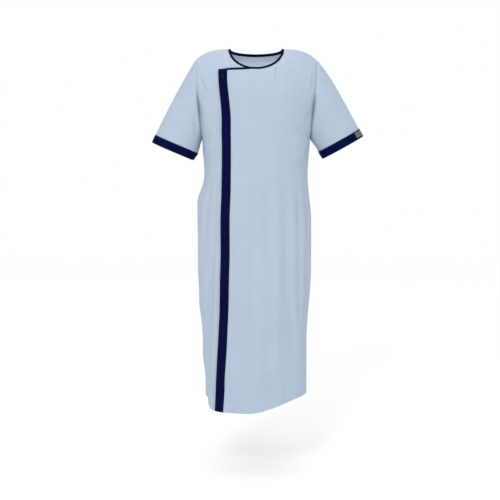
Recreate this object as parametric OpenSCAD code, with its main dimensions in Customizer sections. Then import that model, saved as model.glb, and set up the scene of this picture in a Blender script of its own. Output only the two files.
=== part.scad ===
// Wraparound patient gown in the shape it has when worn, hollow inside.
// The origin is the centre of the neck at the height of the two neck points.
// +Z is up, the front faces -Y and +X is the wearer's left.

/* [Body] */
// Neck point to the lowest point of the front hem
gown_length = 1243; // [1150:1:1350]
// Lowest point of the front hem to the hem at the right side seam
right_hem_rise = 38; // [30:1:50]
// Lowest point of the front hem to the hem at the left side seam
left_hem_rise = 48; // [38:1:55]
// Lowest point of the front hem to the back hem
back_hem_rise = 28; // [15:1:50]
// Half of the width at the chest, below the arms
chest_half = 178; // [165:1:190]
// Extra half width at the hips
hip_ease = 19; // [5:1:25]
// Shift of the hips towards the wearer's right
hip_shift = 5; // [0:1:8]
// Neck centre to the chest
front_depth = 140; // [125:1:150]
// Neck centre to the shoulder blades
back_depth = 112; // [100:1:125]
// How far the skirt front comes in at the hem
skirt_taper = 12; // [0:1:20]
// Roundness of the body's outline, where 2 is an ellipse
outline_power = 2.3; // [2.0:0.1:2.6]

/* [Shoulders and neck] */
// Half of the width between the neck points
neck_half = 88; // [84:1:94]
// Front neckline below the neck points
neck_drop_front = 68; // [55:1:80]
// Back neckline below the neck points
neck_drop_back = 14; // [10:1:20]
// Neck centre to the top of the armhole
shoulder_half = 208; // [200:1:220]
// Top of the armhole below the neck points
shoulder_drop = 37; // [30:1:45]
// Neck centre to the underarm
underarm_half = 185; // [180:1:195]
// Underarm below the neck points
underarm_drop = 302; // [280:1:320]
// Half of the front to back size of the armhole
armhole_half_depth = 76; // [65:1:85]

/* [Sleeves] */
// Centre of the right cuff's end, sideways from the neck centre
right_cuff_out = 285; // [275:1:295]
// Centre of the right cuff's end, below the neck points
right_cuff_drop = 347; // [335:1:355]
// Angle between the right sleeve and the vertical
right_sleeve_tilt = 23; // [18:1:28]
// Centre of the left cuff's end, sideways from the neck centre
left_cuff_out = 299; // [290:1:310]
// Centre of the left cuff's end, below the neck points
left_cuff_drop = 333; // [325:1:345]
// Angle between the left sleeve and the vertical
left_sleeve_tilt = 29; // [24:1:34]
// Half of a cuff's width from the side to the body
cuff_half_width = 80; // [70:1:85]
// Half of a cuff's width from front to back
cuff_half_depth = 58; // [50:1:65]
// Height of the cuff bands
cuff_height = 28; // [20:1:32]

/* [Front closing] */
// Width of the band along the overlap's edge
placket_width = 29; // [24:1:32]
// Centre of the band from the gown's middle, at the waist
placket_offset = 97.5; // [85:0.5:105]
// How far the band leans out at the neck
placket_lean_top = 12.5; // [5:0.5:15]
// How far the band swings out at the hem
placket_lean_hem = 28; // [10:1:32]
// Free edge of the underlap, past the gown's middle
underlap_reach = 12; // [0:1:15]
// Crease that the overlap turns on, from the gown's middle
crease_offset = 90; // [85:1:100]
// Where that crease meets the neckline
crease_offset_top = 66; // [60:1:75]
// Number of press studs
snap_count = 7; // [4:1:7]
// Diameter of a press stud's cap
snap_cap_diameter = 12.4; // [10:0.1:13]
// Diameter of a press stud's socket and stud
snap_body_diameter = 10.6; // [9:0.1:11]

/* [Cloth] */
// Thickness that stands for the cloth and its small folds
cloth = 1.2; // [1:0.1:1.4]
// Height of the binding round the neck
binding_width = 7; // [5:0.5:9]
// Gap that the closed press studs hold between the two fronts
closing_gap = 5.5; // [5.3:0.1:5.9]

/* [Hidden] */

FRONT = -1;
BACK = 1;
RIGHT = -1;
LEFT = 1;

// The shoulders round off over this height
shoulder_round = 180;
// The shoulder line falls away from the neck by this power of the distance
shoulder_power = 3;
// How straight the chest runs out to the middle of the armhole, where 1 is straightest
armhole_openness = 0.9;
// The offset at the side seams comes in over this height below the underarm
underarm_blend = 40;
armhole_half_height = (underarm_drop - shoulder_drop) / 2;
armhole_middle = -(underarm_drop + shoulder_drop) / 2;

// Heights between which the hips start, stay widest and end
hip_start = 430;
hip_full = 590;
hip_fading = 760;
hip_end = 1000;
// Ease of the right side at the waist and in the skirt, and how far across the front it starts
waist_ease = 11;
waist_ease_drop = 510;
waist_ease_spread = 45;
skirt_ease = 9;
skirt_ease_start = 800;
skirt_ease_full = 900;
skirt_ease_fading = 1050;
skirt_ease_end = 1150;
right_ease_start = 0.6;
// Ease at the back between the waist and the seat, and back again at the hem
seat_ease = 8;
seat_start = 400;
seat_full = 750;
seat_fading = 850;
// The front leans in from here to the hem
taper_start = 800;

// The front hem is level between these widths and rises from them to the side seams
left_hem_start = -30;
right_hem_start = 146;
// The back hem is level to this width on both sides
back_hem_flat = 60;

// Overlap's offset from the body. It comes down to the body from this far past the underlap's
// edge to this width
overlap_lift = cloth + closing_gap;
lift_start = 3;
lift_end = 70;
// The overlap's straight top edge starts here and falls by this slope
straight_top_start = -14;
straight_top_slope = 0.08;
placket_top = neck_drop_front + 9;
// Heights over which the placket leans at the top and towards the hem, and the crease's upper part
placket_top_start = 60;
placket_top_end = 260;
placket_hem_start = 640;
placket_hem_end = 1500;
crease_top = 45;
crease_bottom = 300;
// First and last snaps, from the placket's top and from the hem
snap_below_top = 24;
snap_above_hem = 110;

// Clearances: between cloth layers that touch, and where the overlap creases
skin = 0.1;
crease_gap = 1.5;
seam_angle = 89.9;

// Grid steps
neck_steps = 7;
side_neck_steps = 4;
neck_crowding = 1.5;
side_steps = 8;
yoke_rows = 14;
skirt_rows = 11;
sleeve_rings = 8;
sleeve_steps = 24;

snap_first = placket_top + snap_below_top;
snap_last = gown_length - snap_above_hem;
snap_spacing = (snap_last - snap_first) / (snap_count - 1);
snap_disc = 1;
snap_disc_seat = 0.7;
snap_post_radius = 2.2;
snap_post_height = 2.4;
snap_socket_hole = 3.4;
snap_socket_height = 1.9;
snap_socket_seat = 0.7;
snap_dome_height = 1.6;
snap_rim_height = 0.4;
// Points of a cap's dome, as shares of its radius and height
snap_shoulder = [0.8, 0.7];
snap_crown = [0.5, 0.93];
snap_facets = 32;
snap_cap_seat = 0.9;
snap_back_seat = 1.2;

care_label_drop = 700;
care_label_size = [34, 46];
care_label_inset = 12;
care_label_gap = 2;
label_wall = 0.6;
// The cuff tag's place and width as angles round the cuff, and its inset from the cuff's edges
cuff_tag_angle = 33;
cuff_tag_turn = 32;
cuff_tag_inset = 4;
cuff_tag_gap = 0.7;
cuff_outside = 2 * cloth + skin;

cloth_colour = [0.72, 0.78, 0.87];
navy = [0.04, 0.055, 0.235];
white = [0.9, 0.9, 0.88];

function mix(a, b, share) = a + (b - a) * share;
function clamp(v) = min(1, max(0, v));
// Smooth step from 0 at lo to 1 at hi
function ramp(v, lo, hi) = let (s = clamp((v - lo) / (hi - lo))) s * s * (3 - 2 * s);

// Half width of the body at a height
function hip(z) = ramp(-z, hip_start, hip_full) - ramp(-z, hip_fading, hip_end);
function skirt_half(z) = mix(underarm_half, chest_half, ramp(-z, underarm_drop, hip_start))
    + hip_ease * hip(z);
function armhole_x(z) =
    mix(shoulder_half, underarm_half, clamp((-z - shoulder_drop) / (2 * armhole_half_height)));
function half_width(z) = -z > underarm_drop ? skirt_half(z) : armhole_x(z);
// Half width of the offset body: its edges stay in the armhole's plane above the underarm
function reach_x(z, d) = half_width(z) + d * ramp(-z, underarm_drop, underarm_drop + underarm_blend);
function centre_x(z) = -hip_shift * hip(z);
// The wearer's right side hangs a little further out at the waist and below the hips
function right_ease(z) = waist_ease * exp(-pow((-z - waist_ease_drop) / waist_ease_spread, 2))
    + skirt_ease * ramp(-z, skirt_ease_start, skirt_ease_full)
    - skirt_ease * ramp(-z, skirt_ease_fading, skirt_ease_end);

// Depth of the body in front of and behind the neck centre
function depth(z, side) = side == FRONT
    ? front_depth - skirt_taper * ramp(-z, taper_start, gown_length)
    : back_depth + seat_ease * (ramp(-z, seat_start, seat_full) - ramp(-z, seat_fading, gown_length));

// Shoulder line, and the rounding below it
function shoulder_z(x) = -shoulder_drop
    * pow(clamp((abs(x) - neck_half) / (shoulder_half - neck_half)), shoulder_power);
function rounding(x, z, d) =
    let (q = clamp((shoulder_z(x) + d - z) / shoulder_round))
    sqrt(1 - (1 - q) * (1 - q));
function armhole_y(z, d) = (armhole_half_depth + d)
    * sqrt(max(0, 1 - pow((z - armhole_middle) / (armhole_half_height + d), 2)));

// Point of the body at a width and height, offset outwards by d
function body_point(x, z, d, side) =
    let (across = min(1, abs(x) / reach_x(z, d)))
    let (edge = armhole_y(z, d))
    let (power = mix(1 / outline_power, armhole_openness, clamp(edge / armhole_half_depth)))
    let (middle = (depth(z, side) + d) * rounding(x, z, d))
    let (fall = pow(max(0, 1 - pow(across, outline_power)), power))
    let (ease = right_ease(z) * ramp(-x / reach_x(z, d), right_ease_start, 1))
    [centre_x(z) + x - ease, side * (edge + (middle - edge) * fall), z];

function unit(v) = v / norm(v);
// Outward direction of the front at a point, over about the size of a snap
snap_span_x = 4;
snap_span_z = 25;
function front_normal(x, z) =
    unit(cross(body_point(x + snap_span_x, z, 0, FRONT) - body_point(x - snap_span_x, z, 0, FRONT),
        body_point(x, z + snap_span_z, 0, FRONT) - body_point(x, z - snap_span_z, 0, FRONT)));

// Widths, from 0 at the middle to 1 at the seam, closer together at the neck point and the seam
neck_share = neck_half / shoulder_half;
neck_angle = asin(pow(neck_share, outline_power / 2));
function crowd(share) = 1 - pow(1 - share, neck_crowding);
function side_share(i) = i <= neck_steps
    ? neck_share * sin(90 * crowd(i / neck_steps))
    : pow(sin(mix(neck_angle, seam_angle, (i - neck_steps) / side_steps)), 2 / outline_power);
half_columns = neck_steps + side_steps;

// Top edge and hem
function neckline_z(x, drop) = -drop * sqrt(max(0, 1 - pow(x / neck_half, 2)));
function top_z(x, drop, d) = abs(x) < neck_half ? neckline_z(x, drop) : shoulder_z(x) + d;
function overlap_top_z(x) = x < straight_top_start
    ? neckline_z(straight_top_start, neck_drop_front) + (x - straight_top_start) * straight_top_slope
    : neckline_z(x, neck_drop_front);
// The front hem turns up at the right side seam and rises gently all across the left
function front_hem_z(x) = -gown_length + left_hem_rise * ramp(x, left_hem_start, chest_half)
    + right_hem_rise * ramp(-x, right_hem_start, chest_half);
function back_hem_z(x) =
    let (side_rise = x > 0 ? left_hem_rise : right_hem_rise)
    -gown_length + back_hem_rise + (side_rise - back_hem_rise) * ramp(abs(x), back_hem_flat, chest_half);

// Height of row j of a column: rows follow the rounding above, then even steps down to the hem
function row_z(j, x, top, hem, d) =
    let (crest = shoulder_z(x) + d)
    let (yoke_end = crest - shoulder_round)
    let (first = acos(1 - clamp((crest - top) / shoulder_round)))
    j <= yoke_rows
        ? crest - shoulder_round * (1 - cos(mix(first, 90, j / yoke_rows)))
        : mix(yoke_end, hem, (j - yoke_rows) / skirt_rows);

// Lines on the front
function placket_x(z) = -placket_offset
    - placket_lean_top * (1 - ramp(-z, placket_top_start, placket_top_end))
    - placket_lean_hem * ramp(-z, placket_hem_start, placket_hem_end)
        / ramp(gown_length, placket_hem_start, placket_hem_end);
function crease_x(z) = mix(crease_offset_top, crease_offset, ramp(-z, crease_top, crease_bottom));
function lift(x) = overlap_lift * (1 - ramp(x, underlap_reach + lift_start, lift_end));

// Closed shell between two equal grids of points, the first one outside
module shell(outer, inner, flip = false) {
    rows = len(outer);
    cols = len(outer[0]);
    count = rows * cols;
    function at(i, j) = i * cols + j;
    function inside(face) = [for (k = [len(face) - 1 : -1 : 0]) face[k] + count];
    function strip(a, b) = [[a, b, b + count], [a, b + count, a + count]];
    skin_faces = [for (i = [0 : rows - 2]) for (j = [0 : cols - 2])
        each [[at(i, j), at(i, j + 1), at(i + 1, j + 1)], [at(i, j), at(i + 1, j + 1), at(i + 1, j)]]];
    edge_faces = concat(
        [for (j = [0 : cols - 2]) each strip(at(0, j + 1), at(0, j))],
        [for (j = [0 : cols - 2]) each strip(at(rows - 1, j), at(rows - 1, j + 1))],
        [for (i = [0 : rows - 2]) each strip(at(i, 0), at(i + 1, 0))],
        [for (i = [0 : rows - 2]) each strip(at(i + 1, cols - 1), at(i, cols - 1))]);
    faces = concat(skin_faces, [for (face = skin_faces) inside(face)], edge_faces);
    polyhedron(
        points = concat([for (row = outer) each row], [for (row = inner) each row]),
        faces = flip ? [for (face = faces) [face[2], face[1], face[0]]] : faces);
}

// Closed tube between two stacks of rings, the first one outside
module ring_shell(outer, inner, flip = false) {
    rows = len(outer);
    cols = len(outer[0]);
    count = rows * cols;
    function at(i, j) = i * cols + j % cols;
    function inside(face) = [for (k = [len(face) - 1 : -1 : 0]) face[k] + count];
    function strip(a, b) = [[a, b, b + count], [a, b + count, a + count]];
    skin_faces = [for (i = [0 : rows - 2]) for (j = [0 : cols - 1])
        each [[at(i, j), at(i, j + 1), at(i + 1, j + 1)], [at(i, j), at(i + 1, j + 1), at(i + 1, j)]]];
    edge_faces = concat(
        [for (j = [0 : cols - 1]) each strip(at(0, j + 1), at(0, j))],
        [for (j = [0 : cols - 1]) each strip(at(rows - 1, j), at(rows - 1, j + 1))]);
    faces = concat(skin_faces, [for (face = skin_faces) inside(face)], edge_faces);
    polyhedron(
        points = concat([for (row = outer) each row], [for (row = inner) each row]),
        faces = flip ? [for (face = faces) [face[2], face[1], face[0]]] : faces);
}

// Solid swept through equal closed sections, with the triangles that close its ends
module sweep(sections, end_faces, flip = false) {
    rings = len(sections);
    sides = len(sections[0]);
    function at(i, k) = i * sides + k % sides;
    faces = concat(
        [for (i = [0 : rings - 2]) for (k = [0 : sides - 1])
            each [[at(i, k), at(i, k + 1), at(i + 1, k + 1)], [at(i, k), at(i + 1, k + 1), at(i + 1, k)]]],
        [for (face = end_faces) [face[2], face[1], face[0]]],
        [for (face = end_faces) [for (k = face) at(rings - 1, k)]]);
    polyhedron(
        points = [for (section = sections) each section],
        faces = flip ? [for (face = faces) [face[2], face[1], face[0]]] : faces);
}

total_rows = yoke_rows + skirt_rows;

// The back, from side seam to side seam
function back_grid(d) = [for (j = [0 : total_rows])
    [for (i = [-half_columns : half_columns])
        let (share = sign(i) * side_share(abs(i)))
        let (x_top = share * shoulder_half)
        let (z = row_z(j, x_top, top_z(x_top, neck_drop_back, d), back_hem_z(share * chest_half), d))
        body_point(share * reach_x(z, d), z, d, BACK)]];

module back_panel() {
    color(cloth_colour) shell(back_grid(cloth), back_grid(0), true);
}

// The wearer's right front, from the side seam to its free edge under the overlap
function underlap_grid(d) = [for (j = [0 : total_rows])
    [for (i = [-half_columns : 1])
        let (share = i < 1 ? -side_share(abs(i)) : 0)
        let (x_top = i < 1 ? share * shoulder_half : underlap_reach)
        let (x_hem = i < 1 ? share * chest_half : underlap_reach)
        let (z = row_z(j, x_top, top_z(x_top, neck_drop_front, d), front_hem_z(x_hem), d))
        body_point(i < 1 ? share * reach_x(z, d) : underlap_reach, z, d, FRONT)]];

module underlap_panel() {
    color(cloth_colour) shell(underlap_grid(cloth), underlap_grid(0));
}

// The part of the wearer's left front that stays with the side seam
side_columns = side_neck_steps + side_steps;
crease_turn = asin(crease_offset_top / neck_half);
function side_top_x(i) = i <= side_neck_steps
    ? neck_half * sin(mix(crease_turn, 90, crowd(i / side_neck_steps)))
    : shoulder_half * side_share(neck_steps + i - side_neck_steps);
function side_grid(d) = [for (j = [0 : total_rows])
    [for (i = [0 : side_columns])
        let (x_top = side_top_x(i))
        let (share = (x_top - crease_offset_top) / (shoulder_half - crease_offset_top))
        let (x_hem = mix(crease_offset, chest_half, share))
        let (z = row_z(j, x_top, top_z(x_top, neck_drop_front, d), front_hem_z(x_hem), d))
        let (x = mix(crease_x(z) + crease_gap, reach_x(z, d), share))
        body_point(x, z, d + lift(x), FRONT)]];

module overlap_side_panel() {
    color(cloth_colour) shell(side_grid(cloth), side_grid(0));
}

// The part of the wearer's left front that opens, from its edge to the crease: its first
// columns lie under the placket band
band_columns = 2;
flap_columns = 10;
function flap_x(i, z) =
    let (edge = placket_x(z) - placket_width / 2)
    i <= band_columns
        ? edge + i * placket_width / band_columns
        : mix(edge + placket_width, crease_x(z), (i - band_columns) / (flap_columns - band_columns));
function flap_point(i, j, d) =
    let (x_top = flap_x(i, -placket_top))
    let (x_hem = flap_x(i, -gown_length))
    let (z = row_z(j, x_top, overlap_top_z(x_top), front_hem_z(x_hem), d))
    let (x = flap_x(i, z))
    body_point(x, z, d + lift(x), FRONT);
function flap_grid(d, last) = [for (j = [0 : total_rows]) [for (i = [0 : last]) flap_point(i, j, d)]];

module overlap_flap_panel() {
    color(cloth_colour) shell(flap_grid(cloth, flap_columns), flap_grid(0, flap_columns));
}

// Band along the overlap's edge, on its outside
module placket_band() {
    band_inside = cloth + 2 * skin;
    color(navy) shell(flap_grid(band_inside + cloth, band_columns), flap_grid(band_inside, band_columns));
}

// Binding that folds over a cloth edge: outside leg, edge, inside leg, as distance from the
// edge and offset from the body
binding_wall = 0.9;
binding_over = 1.2;
binding_slack = 1.5;
binding_gap = 0.6;
binding_section = [
    [binding_width, cloth + binding_slack + binding_wall],
    [-binding_over, cloth + binding_gap + binding_wall],
    [-binding_over, -binding_gap - binding_wall],
    [binding_width, -binding_slack - binding_wall],
    [binding_width, -binding_slack],
    [-binding_gap, -binding_gap],
    [-binding_gap, cloth + binding_gap],
    [binding_width, cloth + binding_slack]];
binding_end = [[0, 1, 6], [0, 6, 7], [1, 2, 5], [1, 5, 6], [2, 3, 4], [2, 4, 5]];

// Rings of a binding round the neck: the angle is 0 at the middle and 90 at a neck point
function neck_ring(angle, side) =
    let (drop = side == FRONT ? neck_drop_front : neck_drop_back)
    [for (corner = binding_section)
        let (x = (neck_half + corner[0]) * sin(angle))
        let (z = min(-(drop + corner[0]) * cos(angle), shoulder_z(x) + corner[1]))
        body_point(x, z, corner[1], side)];

function neck_turn(i) = sign(i) * 90 * crowd(abs(i) / neck_steps);

// Round the neck from the crease, over the back and along the underlap
crease_start = asin((crease_offset_top + crease_gap) / neck_half);
neck_rings = concat(
    [neck_ring(crease_start, FRONT)],
    [for (i = [1 : side_neck_steps - 1]) neck_ring(asin(side_top_x(i) / neck_half), FRONT)],
    [for (i = [neck_steps : -1 : -neck_steps]) neck_ring(neck_turn(i), BACK)],
    [for (i = [1 - neck_steps : 0]) neck_ring(neck_turn(i), FRONT)],
    [neck_ring(asin(underlap_reach / neck_half), FRONT)]);

module neck_binding() {
    color(navy) sweep(neck_rings, binding_end);
}

// Along the overlap's top edge, straight from the placket and then round to the crease
function overlap_ring(x) =
    let (angle = asin(x / neck_half))
    [for (corner = binding_section)
        let (at = x < straight_top_start
            ? [x, overlap_top_z(x) - corner[0]]
            : [(neck_half + corner[0]) * sin(angle), -(neck_drop_front + corner[0]) * cos(angle)])
        body_point(at[0], at[1], corner[1] + lift(at[0]), FRONT)];
overlap_rings = [for (i = [band_columns : flap_columns])
    overlap_ring(flap_x(i, -placket_top) + (i == band_columns ? crease_gap / 2 : 0))];

module overlap_neck_binding() {
    color(navy) sweep(overlap_rings, binding_end, true);
}

// Sleeves: from the armhole in a bend to the top of the cuff, then straight
function cuff_end(side) = side == LEFT
    ? [left_cuff_out, 0, -left_cuff_drop] : [-right_cuff_out, 0, -right_cuff_drop];
function sleeve_tilt(side) = side == LEFT ? left_sleeve_tilt : right_sleeve_tilt;
function sleeve_down(side) = [side * sin(sleeve_tilt(side)), 0, -cos(sleeve_tilt(side))];
function sleeve_out(side) = [side * cos(sleeve_tilt(side)), 0, sin(sleeve_tilt(side))];
function cuff_point(side, angle, d, back_off) = cuff_end(side) - back_off * sleeve_down(side)
    + (cuff_half_width + d) * cos(angle) * sleeve_out(side) + [0, (cuff_half_depth + d) * sin(angle), 0];
armhole_gap = 0.6;
// How steeply each sleeve leaves the armhole, and how long its curve's handles are
left_sleeve_fall = 1;
right_sleeve_fall = 1.6;
sleeve_handle = 0.25;
function armhole_point(side, angle, d) =
    let (z = armhole_middle + (armhole_half_height + d) * cos(angle))
    [side * (armhole_x(z) + armhole_gap), sign(sin(angle)) * armhole_y(z, d), z];
// Bezier curve through a and e with the handles b and c
function bend(a, b, c, e, s) =
    a * pow(1 - s, 3) + 3 * b * s * pow(1 - s, 2) + 3 * c * s * s * (1 - s) + e * pow(s, 3);
function sleeve_point(side, angle, d, s) =
    let (start = armhole_point(side, angle, d))
    let (stop = cuff_point(side, angle, d, cuff_height))
    let (handle = norm(stop - start) * sleeve_handle)
    let (leaving = unit([side, 0, side == LEFT ? -left_sleeve_fall : -right_sleeve_fall]))
    bend(start, start + handle * leaving, stop - handle * sleeve_down(side), stop, s);
function sleeve_grid(side, d) = concat(
    [for (j = [0 : sleeve_rings]) [for (k = [0 : sleeve_steps - 1])
        sleeve_point(side, 360 * k / sleeve_steps, d, j / sleeve_rings)]],
    [[for (k = [0 : sleeve_steps - 1]) cuff_point(side, 360 * k / sleeve_steps, d, cloth)]]);
function cuff_grid(side, d) = [for (back_off = [cuff_height, cuff_height / 2, 0])
    [for (k = [0 : sleeve_steps - 1]) cuff_point(side, 360 * k / sleeve_steps, d, back_off)]];

module sleeve(side) {
    color(cloth_colour) ring_shell(sleeve_grid(side, cloth), sleeve_grid(side, 0), side == LEFT);
}

module cuff(side) {
    color(navy) ring_shell(cuff_grid(side, cuff_outside), cuff_grid(side, cloth + skin), side == LEFT);
}

module right_sleeve() {
    sleeve(RIGHT);
}

module left_sleeve() {
    sleeve(LEFT);
}

module right_cuff() {
    cuff(RIGHT);
}

module left_cuff() {
    cuff(LEFT);
}

// Small woven tag at the outer end of the left cuff, towards the front
module cuff_tag() {
    function tag_angle(turn) = -cuff_tag_angle + turn * cuff_tag_turn / 2;
    function tag_grid(d) = [for (back_off = [cuff_height - cuff_tag_inset, cuff_tag_inset])
        [for (turn = [-1 : 0.5 : 1]) cuff_point(LEFT, tag_angle(turn), d, back_off)]];
    tag_inside = cuff_outside + cuff_tag_gap;
    color(white) shell(tag_grid(tag_inside + label_wall), tag_grid(tag_inside), true);
}

// Label sewn into the left side seam, inside
module care_label() {
    function label_grid(d) = [for (drop = [0, care_label_size[1]])
        [for (inset = [care_label_inset + care_label_size[0], care_label_inset])
            body_point(half_width(-care_label_drop - drop) - inset, -care_label_drop - drop, d, BACK)]];
    color(white) shell(label_grid(-care_label_gap), label_grid(-care_label_gap - label_wall), true);
}

// Press studs: a child is placed on each one's axis where the offset body crosses it, its +Z outwards
module at_snaps(d) {
    for (i = [0 : snap_count - 1]) {
        z = -snap_first - i * snap_spacing;
        x = placket_x(z);
        start = body_point(x, z, 0, FRONT);
        outwards = front_normal(x, z);
        translate(start)
            rotate([0, acos(outwards[2]), atan2(outwards[1], outwards[0])])
                translate([0, 0, (body_point(x, z, d, FRONT) - start) * outwards])
                    children();
    }
}

module snap_cap() {
    radius = snap_cap_diameter / 2;
    rotate_extrude($fn = snap_facets)
        polygon([
            [0, 0],
            [radius, 0],
            [radius, snap_rim_height],
            [radius * snap_shoulder[0], snap_dome_height * snap_shoulder[1]],
            [radius * snap_crown[0], snap_dome_height * snap_crown[1]],
            [0, snap_dome_height]]);
}

module snap_caps() {
    color(navy) at_snaps(overlap_lift + 2 * cloth + 2 * skin)
        translate([0, 0, snap_cap_seat])
            snap_cap();
}

module snap_sockets() {
    color(navy) at_snaps(overlap_lift)
        translate([0, 0, -snap_socket_seat - snap_socket_height])
            difference() {
                cylinder(d = snap_body_diameter, h = snap_socket_height, $fn = snap_facets);
                translate([0, 0, -1])
                    cylinder(r = snap_socket_hole, h = snap_socket_height + 2, $fn = snap_facets);
            }
}

module snap_studs() {
    color(navy) at_snaps(cloth)
        translate([0, 0, snap_disc_seat]) {
            cylinder(d = snap_body_diameter, h = snap_disc, $fn = snap_facets);
            cylinder(r = snap_post_radius, h = snap_disc + snap_post_height, $fn = snap_facets);
        }
}

module snap_backs() {
    color(navy) at_snaps(0)
        translate([0, 0, -snap_back_seat])
            rotate([180, 0, 0])
                snap_cap();
}

back_panel();
underlap_panel();
overlap_side_panel();
overlap_flap_panel();
placket_band();
neck_binding();
overlap_neck_binding();
right_sleeve();
right_cuff();
left_sleeve();
left_cuff();
cuff_tag();
care_label();
snap_caps();
snap_sockets();
snap_studs();
snap_backs();
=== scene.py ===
import math

import bpy
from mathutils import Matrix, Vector
import numpy as np


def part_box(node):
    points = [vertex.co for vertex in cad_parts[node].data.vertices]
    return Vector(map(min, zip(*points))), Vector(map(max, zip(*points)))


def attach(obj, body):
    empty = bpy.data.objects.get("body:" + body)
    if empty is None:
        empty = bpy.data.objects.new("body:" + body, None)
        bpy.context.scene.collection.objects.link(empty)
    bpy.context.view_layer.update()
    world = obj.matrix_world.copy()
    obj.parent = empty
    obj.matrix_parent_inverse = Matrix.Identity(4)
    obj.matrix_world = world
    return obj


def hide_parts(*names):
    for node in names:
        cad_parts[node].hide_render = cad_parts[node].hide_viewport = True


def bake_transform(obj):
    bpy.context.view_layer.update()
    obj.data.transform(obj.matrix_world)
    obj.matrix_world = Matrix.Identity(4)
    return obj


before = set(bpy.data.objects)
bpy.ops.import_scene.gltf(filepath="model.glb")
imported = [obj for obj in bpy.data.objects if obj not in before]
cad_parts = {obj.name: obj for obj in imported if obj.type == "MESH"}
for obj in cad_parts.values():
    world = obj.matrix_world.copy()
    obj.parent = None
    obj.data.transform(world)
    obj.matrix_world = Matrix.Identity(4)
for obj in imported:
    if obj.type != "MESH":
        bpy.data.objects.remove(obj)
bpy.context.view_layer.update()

# ---------------------------------------------------------------- driving dimensions, in metres
MM = 0.001
FRONT, BACK = -1, 1
RIGHT, LEFT = -1, 1

GOWN_LENGTH = -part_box("underlap_panel")[0].z
# The hem at each side seam, and at the back, is this much higher than its lowest point
HEM_SIDE = {RIGHT: 0.038, LEFT: 0.048}
HEM_BACK = 0.028
CHEST_HALF = 0.178
HIP_EASE = 0.019
HIP_SHIFT = 0.005
FRONT_DEPTH = 0.140
BACK_DEPTH = 0.112
SKIRT_TAPER = 0.012
SEAT_EASE = 0.008
# Depths below the neck point between which the hips, the seat and the taper come and go
HIP_START, HIP_FULL, HIP_FADE, HIP_END = 0.43, 0.59, 0.76, 1.0
SEAT_START, SEAT_FULL, SEAT_FADE = 0.4, 0.75, 0.85
TAPER_START = 0.8
OUTLINE_POWER = 2.3
NECK_HALF = 0.088
NECK_DROP = {FRONT: 0.068, BACK: 0.014}
SHOULDER_HALF = 0.208
SHOULDER_DROP = 0.037
SHOULDER_ROUND = 0.180
UNDERARM_HALF = 0.185
UNDERARM = -0.302
ARMHOLE_HALF_DEPTH = 0.076
ARMHOLE_MIDDLE = (UNDERARM - SHOULDER_DROP) / 2
ARMHOLE_HALF_HEIGHT = -(UNDERARM + SHOULDER_DROP) / 2
CUFF_END = {RIGHT: np.array([-0.285, 0, -0.347]), LEFT: np.array([0.299, 0, -0.333])}
SLEEVE_TILT = {RIGHT: math.radians(23), LEFT: math.radians(29)}
SLEEVE_FALL = {RIGHT: 1.6, LEFT: 1.0}  # how steeply each sleeve leaves its armhole
CUFF_HALF_WIDTH = 0.080
CUFF_HALF_DEPTH = 0.058
CUFF_HEIGHT = 0.028
PLACKET_WIDTH = 0.029
PLACKET_TOP = -0.077
BAND_TOP = PLACKET_TOP + 0.002  # the height at which the place of the band's top is taken
STRAIGHT_TOP_START = -0.014
STRAIGHT_TOP_SLOPE = 0.08
UNDERLAP_REACH = 0.012
BINDING_WIDTH = 0.0072


def mix(a, b, share):
    return a + (b - a) * share


def ramp(v, lo, hi):
    s = np.clip((np.asarray(v, float) - lo) / (hi - lo), 0, 1)
    return s * s * (3 - 2 * s)


def bump(v, centre, width):
    return np.exp(-((np.asarray(v, float) - centre) / width) ** 2)


def unit(vectors):
    return vectors / np.maximum(np.linalg.norm(vectors, axis=-1, keepdims=True), 1e-12)


def closed(loop):
    """A row of points with its first one again at its end."""
    return np.concatenate([loop, loop[:1]])


# ---------------------------------------------------------------- the body's shape, as in the CAD
def hip(z):
    return ramp(-z, HIP_START, HIP_FULL) - ramp(-z, HIP_FADE, HIP_END)


def half_width(z):
    """Half width of the body at a height: along the armhole above the underarm, then the skirt."""
    z = np.asarray(z, float)
    skirt = mix(UNDERARM_HALF, CHEST_HALF, ramp(-z, -UNDERARM, HIP_START)) + HIP_EASE * hip(z)
    armhole = mix(SHOULDER_HALF, UNDERARM_HALF,
                  np.clip((-z - SHOULDER_DROP) / (2 * ARMHOLE_HALF_HEIGHT), 0, 1))
    return np.where(z < UNDERARM, skirt, armhole)


def body_depth(z, side):
    if side == FRONT:
        return FRONT_DEPTH - SKIRT_TAPER * ramp(-z, TAPER_START, GOWN_LENGTH)
    return BACK_DEPTH + SEAT_EASE * (ramp(-z, SEAT_START, SEAT_FULL) - ramp(-z, SEAT_FADE, GOWN_LENGTH))


def shoulder_z(x):
    share = np.clip((np.abs(x) - NECK_HALF) / (SHOULDER_HALF - NECK_HALF), 0, 1)
    return -SHOULDER_DROP * share ** 3


def armhole_y(z):
    inside = 1 - ((z - ARMHOLE_MIDDLE) / ARMHOLE_HALF_HEIGHT) ** 2
    return ARMHOLE_HALF_DEPTH * np.sqrt(np.maximum(0, inside))


def right_ease(z):
    """How far the right side swings out, at the waist and at the knee."""
    return 0.011 * bump(z, -0.510, 0.045) + 0.009 * (ramp(-z, 0.80, 0.90) - ramp(-z, 1.05, 1.15))


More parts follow.
